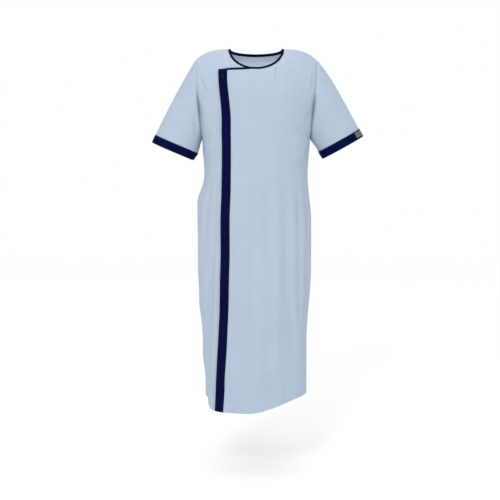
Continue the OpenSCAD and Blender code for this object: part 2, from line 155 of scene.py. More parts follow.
def body_point(x, z, side):
    """Point of the gown's outline at a width and a height, on the front or the back."""
    x, z = np.broadcast_arrays(np.asarray(x, float), np.asarray(z, float))
    across = np.minimum(1, np.abs(x) / half_width(z))
    edge = armhole_y(z)
    power = mix(1 / OUTLINE_POWER, 0.9, np.clip(edge / ARMHOLE_HALF_DEPTH, 0, 1))
    below = np.clip((shoulder_z(x) - z) / SHOULDER_ROUND, 0, 1)
    middle = body_depth(z, side) * np.sqrt(1 - (1 - below) ** 2)
    fall = np.maximum(0, 1 - across ** OUTLINE_POWER) ** power
    ease = right_ease(z) * ramp(-x / half_width(z), 0.6, 1)
    return np.stack([x - HIP_SHIFT * hip(z) - ease, side * (edge + (middle - edge) * fall), z], -1)


def neckline_z(x, side):
    return -NECK_DROP[side] * np.sqrt(np.maximum(0, 1 - (x / NECK_HALF) ** 2))


def top_z(x, side):
    return np.where(np.abs(x) < NECK_HALF, neckline_z(x, side), shoulder_z(x))


def overlap_top_z(x):
    """Height of the overlap's top edge: almost level from the band, then the neckline and shoulder."""
    straight = neckline_z(STRAIGHT_TOP_START, FRONT) + (x - STRAIGHT_TOP_START) * STRAIGHT_TOP_SLOPE
    return np.where(x < STRAIGHT_TOP_START, straight, top_z(x, FRONT))


def front_hem_z(x):
    x = np.asarray(x, float)
    return (-GOWN_LENGTH + HEM_SIDE[LEFT] * ramp(x, -0.030, CHEST_HALF)
            + HEM_SIDE[RIGHT] * ramp(-x, 0.146, CHEST_HALF))


def back_hem_z(x):
    rise = np.where(np.asarray(x) > 0, HEM_SIDE[LEFT], HEM_SIDE[RIGHT]) - HEM_BACK
    return -GOWN_LENGTH + HEM_BACK + rise * ramp(np.abs(x), 0.06, CHEST_HALF)


def hem_z(x, side):
    return front_hem_z(x) if side == FRONT else back_hem_z(x)


def placket_x(z):
    """The band's middle line: it leans outward above the chest and again towards the hem."""
    return (-0.0975 - 0.0125 * (1 - ramp(-z, 0.06, 0.26))
            - 0.028 * ramp(-z, 0.64, 1.5) / ramp(GOWN_LENGTH, 0.64, 1.5))


# ---------------------------------------------------------------- mesh helpers
def new_object(name, vertices, faces, smooth=True):
    mesh = bpy.data.meshes.new(name)
    mesh.from_pydata([tuple(v) for v in vertices], [], [tuple(int(i) for i in f) for f in faces])
    mesh.validate()
    if smooth:
        mesh.polygons.foreach_set("use_smooth", [True] * len(mesh.polygons))
    mesh.update()
    obj = bpy.data.objects.new(name, mesh)
    bpy.context.scene.collection.objects.link(obj)
    return obj


def grid_normals(points, flip):
    """Unit normals of a grid of points, from its neighbours."""
    along = np.gradient(points, axis=0)
    across = np.gradient(points, axis=1)
    normal = unit(np.cross(across, along))
    return -normal if flip else normal


# ---------------------------------------------------------------- the gown as one draped surface
# Columns run from the wearer's right (-X) to the left; rows from the top edge to the hem.
NECK_COLUMNS = 9
SIDE_COLUMNS = 19
YOKE_ROWS = 28
SKIRT_ROWS = 84
SLEEVE_RINGS = 30
CUFF_RINGS = 4
TOTAL_ROWS = YOKE_ROWS + SKIRT_ROWS


def column_shares():
    """Share of the half width at each column: almost even at the neck, then closer towards the sides."""
    neck_share = NECK_HALF / SHOULDER_HALF
    even = np.linspace(0, 1, NECK_COLUMNS + 1)
    neck = neck_share * (0.8 * even + 0.2 * np.sin(even * math.pi / 2))
    first = math.asin(neck_share ** (OUTLINE_POWER / 2))
    side = np.sin(np.linspace(first, math.pi / 2, SIDE_COLUMNS + 1)) ** (2 / OUTLINE_POWER)
    half = np.concatenate([neck, side[1:]])
    return np.concatenate([-half[:0:-1], half])


SHARES = column_shares()
COLUMNS = len(SHARES)
MIDDLE = COLUMNS // 2


def row_heights(side):
    """Height of each row of each column: even steps along the cloth in the yoke, then down to the hem."""
    heights = np.zeros((TOTAL_ROWS + 1, COLUMNS))
    for i, share in enumerate(SHARES):
        top = float(top_z(share * SHOULDER_HALF, side))
        fine = top + (UNDERARM - top) * (1 - np.cos(np.linspace(0, math.pi, 400))) / 2
        path = body_point(share * half_width(fine), fine, side)
        length = np.concatenate([[0], np.cumsum(np.linalg.norm(np.diff(path, axis=0), axis=1))])
        even = np.linspace(0, length[-1], YOKE_ROWS + 1)
        heights[:YOKE_ROWS + 1, i] = np.interp(even, length, fine)
        hem = float(hem_z(share * CHEST_HALF, side))
        heights[YOKE_ROWS:, i] = np.linspace(UNDERARM, hem, SKIRT_ROWS + 1)
    return heights


HEIGHTS = {side: row_heights(side) for side in (FRONT, BACK)}
YOKE_SHARES = {side: (HEIGHTS[side][:1] - HEIGHTS[side][:YOKE_ROWS + 1]) / (HEIGHTS[side][:1] - UNDERARM)
               for side in (FRONT, BACK)}


def grid_places(side):
    """Width and height of every point of a panel's grid."""
    z = HEIGHTS[side]
    return SHARES[None, :] * half_width(z), z


def base_grid(side):
    return body_point(*grid_places(side), side)


def sleeve_frame(side):
    tilt = SLEEVE_TILT[side]
    down = np.array([side * math.sin(tilt), 0, -math.cos(tilt)])
    out = np.array([side * math.cos(tilt), 0, math.sin(tilt)])
    return down, out


def armhole_loop(front, back, side):
    """Armhole points from the shoulder down the front and up the back, from the body's own grids."""
    edge = 0 if side == RIGHT else COLUMNS - 1
    return np.concatenate([front[:YOKE_ROWS + 1, edge], back[YOKE_ROWS - 1:0:-1, edge]])


def loop_angles(loop):
    centre = np.array([0, 0, ARMHOLE_MIDDLE])
    offset = loop - centre
    return np.unwrap(np.arctan2(offset[:, 1] / ARMHOLE_HALF_DEPTH, offset[:, 2] / ARMHOLE_HALF_HEIGHT))


def sleeve_rings(loop, side):
    """Rings from the armhole in a bend to the cuff, as in the CAD."""
    down, out = sleeve_frame(side)
    angle = loop_angles(loop)
    cos, sin = np.cos(angle)[:, None], np.sin(angle)[:, None]
    stop = (CUFF_END[side] - CUFF_HEIGHT * down + CUFF_HALF_WIDTH * cos * out
            + CUFF_HALF_DEPTH * sin * np.array([0, 1, 0]))
    handle = np.linalg.norm(stop - loop, axis=1)[:, None] / 4
    leaving = np.array([side, 0, -SLEEVE_FALL[side]]) / math.hypot(1, SLEEVE_FALL[side])
    b, c = loop + handle * leaving, stop - handle * down
    rings = []
    bend = SLEEVE_RINGS - CUFF_RINGS
    for k in range(bend + 1):
        s = k / bend
        rings.append(loop * (1 - s) ** 3 + 3 * b * s * (1 - s) ** 2
                     + 3 * c * s * s * (1 - s) + stop * s ** 3)
    for k in range(1, CUFF_RINGS + 1):
        rings.append(stop + down * CUFF_HEIGHT * k / CUFF_RINGS)
    return np.array(rings)


def gown_surface():
    """One mesh of the whole gown: points, faces and the index of every grid point."""
    front, back = base_grid(FRONT), base_grid(BACK)
    points = list(front.reshape(-1, 3))
    index_front = np.arange(front.shape[0] * COLUMNS).reshape(front.shape[0], COLUMNS)
    index_back = np.full_like(index_front, -1)
    shared_top = np.abs(SHARES * SHOULDER_HALF) > NECK_HALF - 1e-6
    index_back[0, shared_top] = index_front[0, shared_top]
    for edge in (0, COLUMNS - 1):
        index_back[YOKE_ROWS:, edge] = index_front[YOKE_ROWS:, edge]
    for j, i in np.argwhere(index_back < 0):
        index_back[j, i] = len(points)
        points.append(back[j, i])
    faces = []
    f, b = index_front, index_back
    for j in range(TOTAL_ROWS):
        for i in range(COLUMNS - 1):
            faces.append((f[j, i], f[j + 1, i], f[j + 1, i + 1], f[j, i + 1]))
            faces.append((b[j, i], b[j, i + 1], b[j + 1, i + 1], b[j + 1, i]))
    index_sleeve = {}
    for side in (RIGHT, LEFT):
        ring0 = armhole_loop(index_front, index_back, side)
        rings = sleeve_rings(np.array([points[i] for i in ring0]), side)
        index = np.zeros(rings.shape[:2], int)
        index[0] = ring0
        for k in range(1, len(rings)):
            index[k] = np.arange(len(points), len(points) + len(ring0))
            points.extend(rings[k])
        around = len(ring0)
        for k in range(len(rings) - 1):
            for a in range(around):
                b = (a + 1) % around
                quad = (index[k, a], index[k, b], index[k + 1, b], index[k + 1, a])
                faces.append(quad if side == LEFT else quad[::-1])
        index_sleeve[side] = index
    return np.array(points), faces, index_front, index_back, index_sleeve


POINTS, FACES, INDEX_FRONT, INDEX_BACK, INDEX_SLEEVE = gown_surface()

# ---------------------------------------------------------------- cloth simulation
FRAMES = 36
FULLNESS = 0.055              # the cut is this much wider than the body's outline
FOLD_GAIN = 1.2
SEAM_FADE = 5                 # the simulated folds fade out over this many steps beside a seam
ARM_RINGS, ARM_SIDES = 24, 32
ARM_WIDE, ARM_DEEP = (0.050, 0.060), (0.062, 0.053)  # half widths and depths of an arm at its top and end
STUD_PIN, CUFF_PIN, CLOTH_PIN = 0.9, 0.05, 0.012     # how firmly each part of the cloth is held
CLOTH_SETTINGS = {
    "quality": 6, "mass": 0.15, "tension_stiffness": 25, "compression_stiffness": 20, "shear_stiffness": 8,
    "bending_stiffness": 0.35, "tension_damping": 8, "compression_damping": 8, "shear_damping": 8,
    "bending_damping": 0.6, "air_damping": 2, "vertex_group_mass": "pin", "pin_stiffness": 1}
CLOTH_GAP = 0.002             # the cloth and the form each keep this distance
SNAP_COUNT = 7
SNAP_Z = np.linspace(PLACKET_TOP - 0.024, -GOWN_LENGTH + 0.110, SNAP_COUNT)


def inset(z):
    """Distance from the gown's outline to the form, which it touches at shoulders, chest and hips."""
    return 0.003 + 0.006 * ramp(-z, 0.1, 0.3) + 0.018 * bump(z, -0.47, 0.10) + 0.030 * ramp(-z, 0.72, 1.0)


def widened(points):
    """The cut's rest shape: wider than the hung shape below the shoulders and round the sleeves."""
    wide = points.copy()
    share = FULLNESS * ramp(-points[:, 2], 0.08, 0.32)
    body = np.ones(len(points), bool)
    for side in (RIGHT, LEFT):
        index = INDEX_SLEEVE[side][1:]
        body[index.ravel()] = False
        for k, ring in enumerate(index):
            centre = points[ring].mean(0)
            wide[ring] = centre + (points[ring] - centre) * (1 + FULLNESS * min(1, (k + 1) / 8))
    middle = -HIP_SHIFT * hip(points[:, 2])
    wide[body, 0] = (middle + (points[:, 0] - middle) * (1 + share))[body]
    wide[body, 1] = (points[:, 1] * (1 + share))[body]
    return wide


def start_folds(points):
    """A few soft upright folds to start from, deeper towards the hem, so that each run buckles alike."""
    normal_x = points[:, 0] / 0.19
    angle = np.arctan2(points[:, 1] / 0.13, normal_x)
    depth = 0.0022 * ramp(-points[:, 2], 0.25, 1.1)
    wave = (np.sin(angle * 9 + 0.6) + 0.6 * np.sin(angle * 14 + 2.1 + 2 * points[:, 2])
            + 0.4 * np.sin(angle * 23 + 4))
    out = np.stack([np.cos(angle), np.sin(angle), np.zeros(len(points))], 1)
    return points + out * (depth * wave)[:, None]


def form_tubes():
    """The hidden form's mesh: the body inside the gown's outline and an arm in each sleeve."""
    vertices, faces = [], []
    for side in (FRONT, BACK):
        grid = base_grid(side)
        normal = grid_normals(grid, side == FRONT)
        if np.mean(normal[60, MIDDLE] * np.array([0, side, 0])) < 0:
            normal = -normal
        inner = grid - normal * inset(grid[..., 2])[..., None]
        inner[YOKE_ROWS:, 0, 1] = inner[YOKE_ROWS:, -1, 1] = 0
        start = len(vertices)
        vertices.extend(inner.reshape(-1, 3))
        for j in range(TOTAL_ROWS):
            for i in range(COLUMNS - 1):
                a = start + j * COLUMNS + i
                quad = (a, a + COLUMNS, a + COLUMNS + 1, a + 1)
                faces.append(quad if side == FRONT else quad[::-1])
    for side in (RIGHT, LEFT):
        down, out = sleeve_frame(side)
        top = np.array([side * 0.17, 0, -0.120])
        low = CUFF_END[side] + out * 0.012 + down * 0.06
        start = len(vertices)
        for k in range(ARM_RINGS):
            s = k / (ARM_RINGS - 1)
            centre = mix(top, low, s)
            wide, deep = mix(*ARM_WIDE, s), mix(*ARM_DEEP, s)
            for a in range(ARM_SIDES):
                t = 2 * math.pi * a / ARM_SIDES
                vertices.append(centre + out * wide * math.cos(t) + np.array([0, deep * math.sin(t), 0]))
        for k in range(ARM_RINGS - 1):
            ring = start + k * ARM_SIDES
            after = ring + ARM_SIDES
            for a in range(ARM_SIDES):
                b = (a + 1) % ARM_SIDES
                quad = (ring + a, ring + b, after + b, after + a)
                faces.append(quad if side == RIGHT else quad[::-1])
    return vertices, faces


def pin_weights(points):
    """How firmly each point keeps its place: fully at the neck and shoulders, and at the press studs."""
    weight = np.full(len(points), CLOTH_PIN)
    for index in (INDEX_FRONT, INDEX_BACK):
        for i, share in enumerate(SHARES):
            rows = 3 if abs(share) * SHOULDER_HALF < NECK_HALF + 0.01 else 1
            weight[index[:rows, i]] = 1.0
    for z in SNAP_Z:
        at = body_point(placket_x(z), z, FRONT)
        near = np.linalg.norm(points - at, axis=1)
        weight = np.maximum(weight, STUD_PIN * bump(near, 0, 0.012))
    for side in (RIGHT, LEFT):
        weight[INDEX_SLEEVE[side][-2:]] = CUFF_PIN
    return weight


def simulate():
    """Positions of the gown's points after hanging on the form."""
    cloth = new_object("hanging_cloth", start_folds(POINTS), FACES)
    cloth.shape_key_add(name="hung")
    cut = cloth.shape_key_add(name="cut")
    cut.data.foreach_set("co", widened(POINTS).astype(np.float32).ravel())
    group = cloth.vertex_groups.new(name="pin")
    for i, w in enumerate(pin_weights(POINTS)):
        group.add([i], float(w), "REPLACE")
    form = new_object("form", *form_tubes())
    form.modifiers.new("hold", "COLLISION")
    form.collision.thickness_outer = CLOTH_GAP
    form.collision.thickness_inner = 0.01
    form.collision.cloth_friction = 12
    modifier = cloth.modifiers.new("cloth", "CLOTH")
    modifier.settings.rest_shape_key = cut
    for setting, value in CLOTH_SETTINGS.items():
        setattr(modifier.settings, setting, value)
    modifier.collision_settings.distance_min = CLOTH_GAP
    modifier.collision_settings.collision_quality = 2
    scene = bpy.context.scene
    scene.frame_start, scene.frame_end = 1, FRAMES
    modifier.point_cache.frame_start, modifier.point_cache.frame_end = 1, FRAMES
    for f in range(1, FRAMES + 1):
        scene.frame_set(f)
    shaped = cloth.evaluated_get(bpy.context.evaluated_depsgraph_get()).to_mesh()
    result = np.empty(len(shaped.vertices) * 3, np.float32)
    shaped.vertices.foreach_get("co", result)
    scene.frame_set(1)
    for obj in (cloth, form):
        bpy.data.objects.remove(obj, do_unlink=True)
    return result.reshape(-1, 3).astype(float)


# ---------------------------------------------------------------- the draped surface
def blurred(grid, times, wrap=False):
    """A grid of vectors smoothed over its neighbours; wrap joins the first and last columns."""
    for _ in range(times):
        rows = np.concatenate([grid[:1], grid, grid[-1:]], 0)
        grid = (rows[:-2] + 2 * rows[1:-1] + rows[2:]) / 4
        ends = (grid[:, -1:], grid[:, :1]) if wrap else (grid[:, :1], grid[:, -1:])
        cols = np.concatenate([ends[0], grid, ends[1]], 1)
        grid = (cols[:, :-2] + 2 * cols[:, 1:-1] + cols[:, 2:]) / 4
    return grid


def panel_calm(side):
    """Share of the folds that a panel keeps: none beside seams and edges, little beside the band."""
    column = np.arange(COLUMNS)
    from_seam = np.minimum(column, COLUMNS - 1 - column)
    calm = ramp(from_seam, 0, SEAM_FADE)[None, :] * ramp(np.arange(TOTAL_ROWS + 1), 0, SEAM_FADE)[:, None]
    if side == BACK:
        return calm
    x, z = grid_places(FRONT)
    from_band = x - placket_x(z)
    edge = overlap_top_z(np.minimum(SHARES * SHOULDER_HALF, 0))[None, :]
    from_top = np.where(from_band < 0.11, z - edge, 1)
    return calm * (1 - 0.9 * bump(from_band, 0, 0.030)) * (1 - bump(from_top, 0, 0.025))


def sleeve_calm(rings, around):
    """Share of the folds that a sleeve keeps: none at the armhole, and few on its crown."""
    ring, step = np.arange(rings)[:, None], np.arange(around)[None, :]
    crown = bump(step, 0, 5) + bump(step, around, 5)
    return ramp(ring, 0, SEAM_FADE) * (1 - crown * (1 - ramp(ring, 4, 22)))


SAG_BODY, SAG_SLEEVE, FOLD_LIMIT = 30, 14, 0.012  # smoothing passes that find the sag, and the deepest fold


def kept_folds(result):
    """The hung shape with the simulation's folds, without its wide sag; no point moves past the limit."""
    move = result - POINTS
    sag = move.copy()
    for index in (INDEX_FRONT, INDEX_BACK):
        sag[index] = blurred(move[index], SAG_BODY)
    for side in (RIGHT, LEFT):
        index = INDEX_SLEEVE[side][1:]
        sag[index] = blurred(move[index], SAG_SLEEVE, wrap=True)
    for index in (INDEX_FRONT, INDEX_BACK):
        for edge in (0, COLUMNS - 1):
            sag[index[:, edge]] = move[index[:, edge]]
    move = (move - sag) * FOLD_GAIN
    for index, side in ((INDEX_FRONT, FRONT), (INDEX_BACK, BACK)):
        move[index] = move[index] * panel_calm(side)[..., None]
    for side in (RIGHT, LEFT):
        index = INDEX_SLEEVE[side]
        move[index] = blurred(move[index], 3, wrap=True) * sleeve_calm(*index.shape)[..., None]
    length = np.linalg.norm(move, axis=1, keepdims=True)
    return POINTS + move * FOLD_LIMIT * np.tanh(length / FOLD_LIMIT) / np.maximum(length, 1e-9)


HUNG = kept_folds(simulate())
SHIFT = {FRONT: HUNG[INDEX_FRONT] - base_grid(FRONT), BACK: HUNG[INDEX_BACK] - base_grid(BACK)}


def cubic(t):
    """Weights of the four neighbours at a fraction of a step."""
    return np.stack([(-t + 2 * t ** 2 - t ** 3) / 2, (2 - 5 * t ** 2 + 3 * t ** 3) / 2,
                     (t + 4 * t ** 2 - 3 * t ** 3) / 2, (t ** 3 - t ** 2) / 2], -1)


def sample(grid, j, i):
    """Smooth value of a grid of points at fractional rows and columns."""
    rows, cols = grid.shape[:2]
    padded = np.concatenate([2 * grid[:1] - grid[1:2], grid, 2 * grid[-1:] - grid[-2:-1]], 0)
    padded = np.concatenate([2 * padded[:, :1] - padded[:, 1:2], padded,
                             2 * padded[:, -1:] - padded[:, -2:-1]], 1)
    j, i = np.broadcast_arrays(np.clip(j, 0, rows - 1), np.clip(i, 0, cols - 1))
    j0 = np.minimum(j.astype(int), rows - 2)
    i0 = np.minimum(i.astype(int), cols - 2)
    wj, wi = cubic(j - j0), cubic(i - i0)
    value = 0
    for a in range(4):
        for b in range(4):
            value = value + (wj[..., a] * wi[..., b])[..., None] * padded[j0 + a, i0 + b]
    return value


def with_normals(point_at, j, i, sign):
    """Points and outward unit normals at fractional rows and columns of the surface that point_at gives."""
    step = 0.25
    j, i = np.broadcast_arrays(np.asarray(j, float), np.asarray(i, float))
    across = point_at(j, i + step) - point_at(j, i - step)
    along = point_at(j + step, i) - point_at(j - step, i)
    return point_at(j, i), unit(np.cross(across, along) * sign)


def share_at(i):
    """Share of the half width at a fractional column."""
    return np.interp(i, np.arange(COLUMNS), SHARES)


def column_at(share):
    """Fractional column at a share of the half width."""
    return np.interp(share, SHARES, np.arange(COLUMNS))


def height_at(side, j, i):
    """Height on the hung shape of a fractional row and column."""
    j, i = np.broadcast_arrays(np.clip(j, 0, TOTAL_ROWS), np.clip(i, 0, COLUMNS - 1))
    share = share_at(i)
    row = np.minimum(j.astype(int), YOKE_ROWS - 1)
    column = np.minimum(i.astype(int), COLUMNS - 2)
    down, across = j - row, i - column
    table = YOKE_SHARES[side]
    high = mix(table[row, column], table[row, column + 1], across)
    low = mix(table[row + 1, column], table[row + 1, column + 1], across)
    yoke = mix(top_z(share * SHOULDER_HALF, side), UNDERARM, mix(high, low, np.minimum(down, 1)))
    skirt = mix(UNDERARM, hem_z(share * CHEST_HALF, side), (j - YOKE_ROWS) / SKIRT_ROWS)
    return np.where(j < YOKE_ROWS, yoke, skirt)


def body_at(side, j, i):
    """Point of the draped body at a fractional row and column."""
    z = height_at(side, j, i)
    x = share_at(np.clip(i, 0, COLUMNS - 1)) * half_width(z)
    return body_point(x, z, side) + sample(SHIFT[side], j, i)


def body_surface(side, j, i):
    """Points and outward unit normals of the draped body at fractional rows and columns."""
    def point_at(row, column):
        return body_at(side, row, column)
    return with_normals(point_at, j, i, side)


def place(x, z, side):
    """Row and column of a width and height on the hung shape."""
    x, z = np.broadcast_arrays(np.asarray(x, float), np.asarray(z, float))
    share = np.clip(x / half_width(z), -1, 1)
    i = column_at(share)
    i0 = np.minimum(i.astype(int), COLUMNS - 2)
    table = YOKE_SHARES[side]
    column = mix(table[:, i0], table[:, i0 + 1], i - i0)
    top = top_z(share * SHOULDER_HALF, side)
    wanted = np.clip((top - z) / (top - UNDERARM), 0, 1)
    above = np.clip((column <= wanted[None]).sum(0) - 1, 0, YOKE_ROWS - 1)
    high = np.take_along_axis(column, above[None], 0)[0]
    low = np.take_along_axis(column, above[None] + 1, 0)[0]
    yoke = above + (wanted - high) / (low - high)
    hem = hem_z(share * CHEST_HALF, side)
    skirt = YOKE_ROWS + SKIRT_ROWS * (UNDERARM - z) / (UNDERARM - hem)
    return np.clip(np.where(z > UNDERARM, yoke, skirt), 0, TOTAL_ROWS), i


def seat_at_snaps():
    """Bring the drape onto the hung shape where the press studs sit."""
    for z in SNAP_Z:
        x = placket_x(z)
        j, i = place(x, z, FRONT)
        gap = sample(SHIFT[FRONT], j, i)
        near = np.linalg.norm(base_grid(FRONT) - body_point(x, z, FRONT), axis=-1)
        SHIFT[FRONT] = SHIFT[FRONT] - gap * bump(near, 0, 0.045)[..., None]


def soft_line(x, z, start, end, width):
    """1 on a line from start to end, each (x, z), fading to 0 over the width and past its ends."""
    start, end = np.array(start), np.array(end)
    way = end - start
    along = ((x - start[0]) * way[0] + (z - start[1]) * way[1]) / (way @ way)
    near = np.clip(along, 0, 1)
    far = np.hypot(x - start[0] - near * way[0], z - start[1] - near * way[1])
    return bump(far, 0, width) * np.sin(math.pi * np.clip(along * 0.8 + 0.1, 0, 1)) ** 0.7


# Soft folds of each side: where one starts and ends, its width, and its height outward or inward
FOLDS = {
    FRONT: [
        ((0.182, -0.312), (0.138, -0.268), 0.009, -0.0050),
        ((0.172, -0.330), (0.120, -0.300), 0.012, 0.0030),
        ((0.190, -0.330), (0.150, -0.400), 0.011, -0.0028),
        ((-0.182, -0.315), (-0.148, -0.290), 0.009, -0.0038),
        ((-0.190, -0.098), (-0.170, -0.150), 0.006, -0.0032),
        ((-0.180, -0.092), (-0.160, -0.140), 0.006, 0.0026),
        ((-0.192, -0.150), (-0.170, -0.192), 0.006, -0.0030),
        ((-0.182, -0.172), (-0.166, -0.215), 0.007, 0.0024),
        ((0.192, -0.095), (0.186, -0.150), 0.006, -0.0032),
        ((0.181, -0.090), (0.177, -0.135), 0.006, 0.0024),
        ((0.184, -0.215), (0.160, -0.262), 0.008, -0.0028),
        ((-0.184, -0.335), (-0.155, -0.400), 0.011, -0.0026),
        ((0.120, -0.86), (0.128, -1.02), 0.010, -0.0032),
        ((0.140, -0.84), (0.148, -1.06), 0.012, 0.0030),
        ((0.104, -0.88), (0.108, -1.05), 0.012, 0.0024),
        ((-0.150, -0.80), (-0.160, -1.19), 0.013, -0.0048),
        ((-0.168, -0.78), (-0.176, -1.19), 0.012, 0.0034),
        ((0.018, -1.06), (0.072, -1.24), 0.016, -0.0042),
        ((0.050, -1.05), (0.104, -1.23), 0.018, 0.0030),
        ((-0.060, -0.95), (-0.052, -1.23), 0.020, 0.0024),
        ((0.06, -0.55), (0.075, -0.80), 0.022, 0.0018),
        ((-0.02, -0.66), (-0.015, -0.95), 0.022, -0.0018)],
    BACK: [
        ((0.176, -0.32), (0.120, -0.36), 0.012, -0.0040),
        ((-0.176, -0.32), (-0.120, -0.36), 0.012, -0.0040),
        ((0.05, -0.80), (0.062, -1.20), 0.018, -0.0046),
        ((-0.07, -0.84), (-0.080, -1.21), 0.018, -0.0046),
        ((0.10, -0.82), (0.118, -1.20), 0.018, 0.0040),
        ((-0.015, -0.90), (-0.012, -1.21), 0.020, 0.0036),
        ((-0.12, -0.80), (-0.140, -1.20), 0.018, 0.0036),
        ((0.03, -0.40), (0.05, -0.56), 0.020, -0.0028),
        ((-0.03, -0.40), (-0.06, -0.58), 0.020, -0.0030)]}


def add_folds(side):
    """The soft folds and drag lines that the cloth shows, along the surface's normals."""
    rows, cols = np.mgrid[0:TOTAL_ROWS + 1, 0:COLUMNS].astype(float)
    normal = body_surface(side, rows, cols)[1]
    x, z = grid_places(side)
    depth = sum(height * soft_line(x, z, a, b, width) for a, b, width, height in FOLDS[side])
    keep = 1 - bump(np.abs(x) / half_width(z), 1, 0.06)
    SHIFT[side] = SHIFT[side] + normal * (depth * keep)[..., None]


TUCK = {FRONT: 0.018, BACK: 0.005}  # how deep the armhole seams sink


def tuck_armholes(side):
    """The seam of each sleeve sinks between the sleeve and the body, most of all towards the underarm."""
    x, z = grid_places(side)
    near = bump(half_width(z) - np.abs(x), 0, 0.009)
    depth = 0.0012 + TUCK[side] * bump(z, -0.205, 0.048) + 0.0022 * bump(z, -0.075, 0.03)
    depth = depth * ramp(-z, 0.036, 0.055) * (1 - ramp(-z, 0.285, 0.302))
    SHIFT[side] = SHIFT[side] - np.array([0, side, 0]) * (near * depth)[..., None]


for _side in (FRONT, BACK):
    add_folds(_side)
    tuck_armholes(_side)
seat_at_snaps()

DRAPE = {side: base_grid(side) + SHIFT[side] for side in (FRONT, BACK)}
RINGS = {side: np.concatenate([HUNG[INDEX_SLEEVE[side]], HUNG[INDEX_SLEEVE[side]][:, :1]], 1)
         for side in (RIGHT, LEFT)}
AROUND = RINGS[RIGHT].shape[1] - 1


def seat_sleeve(side):
    """The sleeve starts at the body's sunken seam, and its next rings follow."""
    RINGS[side][0] = closed(armhole_loop(DRAPE[FRONT], DRAPE[BACK], side))
    shift = RINGS[side][0] - closed(POINTS[INDEX_SLEEVE[side][0]])
    for k in range(1, 5):
        RINGS[side][k] = RINGS[side][k] + shift * math.exp(-(k / 1.6) ** 2)


for _side in (RIGHT, LEFT):
    seat_sleeve(_side)


def sleeve_surface(side, k, a):
    """Points and outward unit normals of a draped sleeve at fractional rings and steps round it."""
    def point_at(ring, step):
        return sample(RINGS[side], ring, step)
    return with_normals(point_at, k, a, side)


# ---------------------------------------------------------------- solids between two grids of points
def solid_between(name, outer, inner, wrap=False):
    """A closed sheet between two equal grids; wrap joins the first and last rows.

    Its UV is in metres along the cloth."""
    rows, cols = outer.shape[:2]
    closing = closed(outer)
    across = np.linalg.norm(np.diff(closing, axis=1), axis=2)
    u = np.concatenate([np.zeros((rows + 1, 1)), np.cumsum(across, 1)], 1)
    u -= u[:, cols // 2:cols // 2 + 1]
    v = np.concatenate([[0], np.cumsum(np.linalg.norm(np.diff(closing, axis=0), axis=2).mean(1))])
    last = rows if wrap else rows - 1
    r, c = [q.ravel() for q in np.mgrid[0:last, 0:cols - 1]]
    top = np.stack([np.stack([r, r + 1, r + 1, r]), np.stack([c, c, c + 1, c + 1]),
                    np.zeros((4, len(r)), int)])
    under = top[:, ::-1].copy()
    under[2] = 1
    pieces = [top, under]
    for col in (0, cols - 1):
        r = np.arange(last)
        edge = np.stack([np.stack([r + 1, r, r, r + 1]), np.full((4, last), col),
                         np.stack([r * 0, r * 0, r * 0 + 1, r * 0 + 1])])
        pieces.append(edge if col == 0 else edge[:, ::-1])
    if not wrap:
        for row in (0, rows - 1):
            c = np.arange(cols - 1)
            edge = np.stack([np.full((4, cols - 1), row), np.stack([c, c + 1, c + 1, c]),
                             np.stack([c * 0, c * 0, c * 0 + 1, c * 0 + 1])])
            pieces.append(edge if row == 0 else edge[:, ::-1])
    row, col, layer = np.concatenate(pieces, 2)
    faces = (row % rows) * cols + col + layer * rows * cols
    uv = np.stack([u[row, col], v[row]], -1)
    points = np.concatenate([outer.reshape(-1, 3), inner.reshape(-1, 3)])
    a, b, c, d = points[faces]
    volume = np.einsum("ij,ij->", a, np.cross(b, c)) + np.einsum("ij,ij->", a, np.cross(c, d))
    if volume < 0:
        faces, uv = faces[::-1], uv[::-1]
    mesh = bpy.data.meshes.new(name)
    mesh.from_pydata([tuple(p) for p in points.tolist()], [], faces.T.tolist())
    layer_uv = mesh.uv_layers.new(name="cloth")
    layer_uv.data.foreach_set("uv", uv.transpose(1, 0, 2).astype(np.float32).ravel())
    mesh.polygons.foreach_set("use_smooth", [True] * len(mesh.polygons))
    mesh.update()
    obj = bpy.data.objects.new(name, mesh)
    bpy.context.scene.collection.objects.link(obj)
    return obj


def thickened(name, points, normals, inside, outside, wrap=False):
    """A closed sheet on a grid of points, from one distance along the normals to another."""
    inside, outside = [np.asarray(q, float)[..., None] if np.ndim(q) else q for q in (inside, outside)]
    return solid_between(name, points + normals * outside, points + normals * inside, wrap)


CLOTH = 0.0008                # thickness of the gown's cloth
SEAM_DIP = 0.0006
HEM_STITCH_END = 0.172        # the hems' stitches end at this width


def seam_dip(distance):
    """How far the cloth dips beside a seam, at a distance in metres from it."""
    return SEAM_DIP * bump(distance, 0, 0.0022)


# ---------------------------------------------------------------- body panels
FINE = 2                      # steps of the panels' grids for each step of the drape
ROWS_FINE = np.concatenate([[0, 0.12, 0.3], np.arange(1, FINE * TOTAL_ROWS - 1) / FINE,
                            [TOTAL_ROWS - 0.3, TOTAL_ROWS - 0.12, TOTAL_ROWS]])


def fine_shares(count):
    """Even steps from 0 to 1 with closely spaced ones at both ends."""
    return np.concatenate([[0, 0.003, 0.007], np.linspace(0.012, 0.988, count), [0.993, 0.997, 1]])


def fine_columns(first, last):
    """Column steps between each row's own first and last column."""
    share = fine_shares(int(np.max(last - first) * FINE) + 1)
    return first[:, None] + (last - first)[:, None] * share[None]


def distances(points):
    """Distance of each point from its row's first and last points, along the row."""
    step = np.linalg.norm(np.diff(points, axis=1), axis=2)
    run = np.concatenate([np.zeros((len(points), 1)), np.cumsum(step, 1)], 1)
    return run, run[:, -1:] - run


def back_panel_cloth():
    rows = len(ROWS_FINE)
    i = fine_columns(np.zeros(rows), np.full(rows, COLUMNS - 1.0))
    p, n = body_surface(BACK, ROWS_FINE[:, None], i)
    first, last = distances(p)
    dip = seam_dip(first) + seam_dip(last)
    return thickened("back_cloth", p, n, -dip, CLOTH - dip)


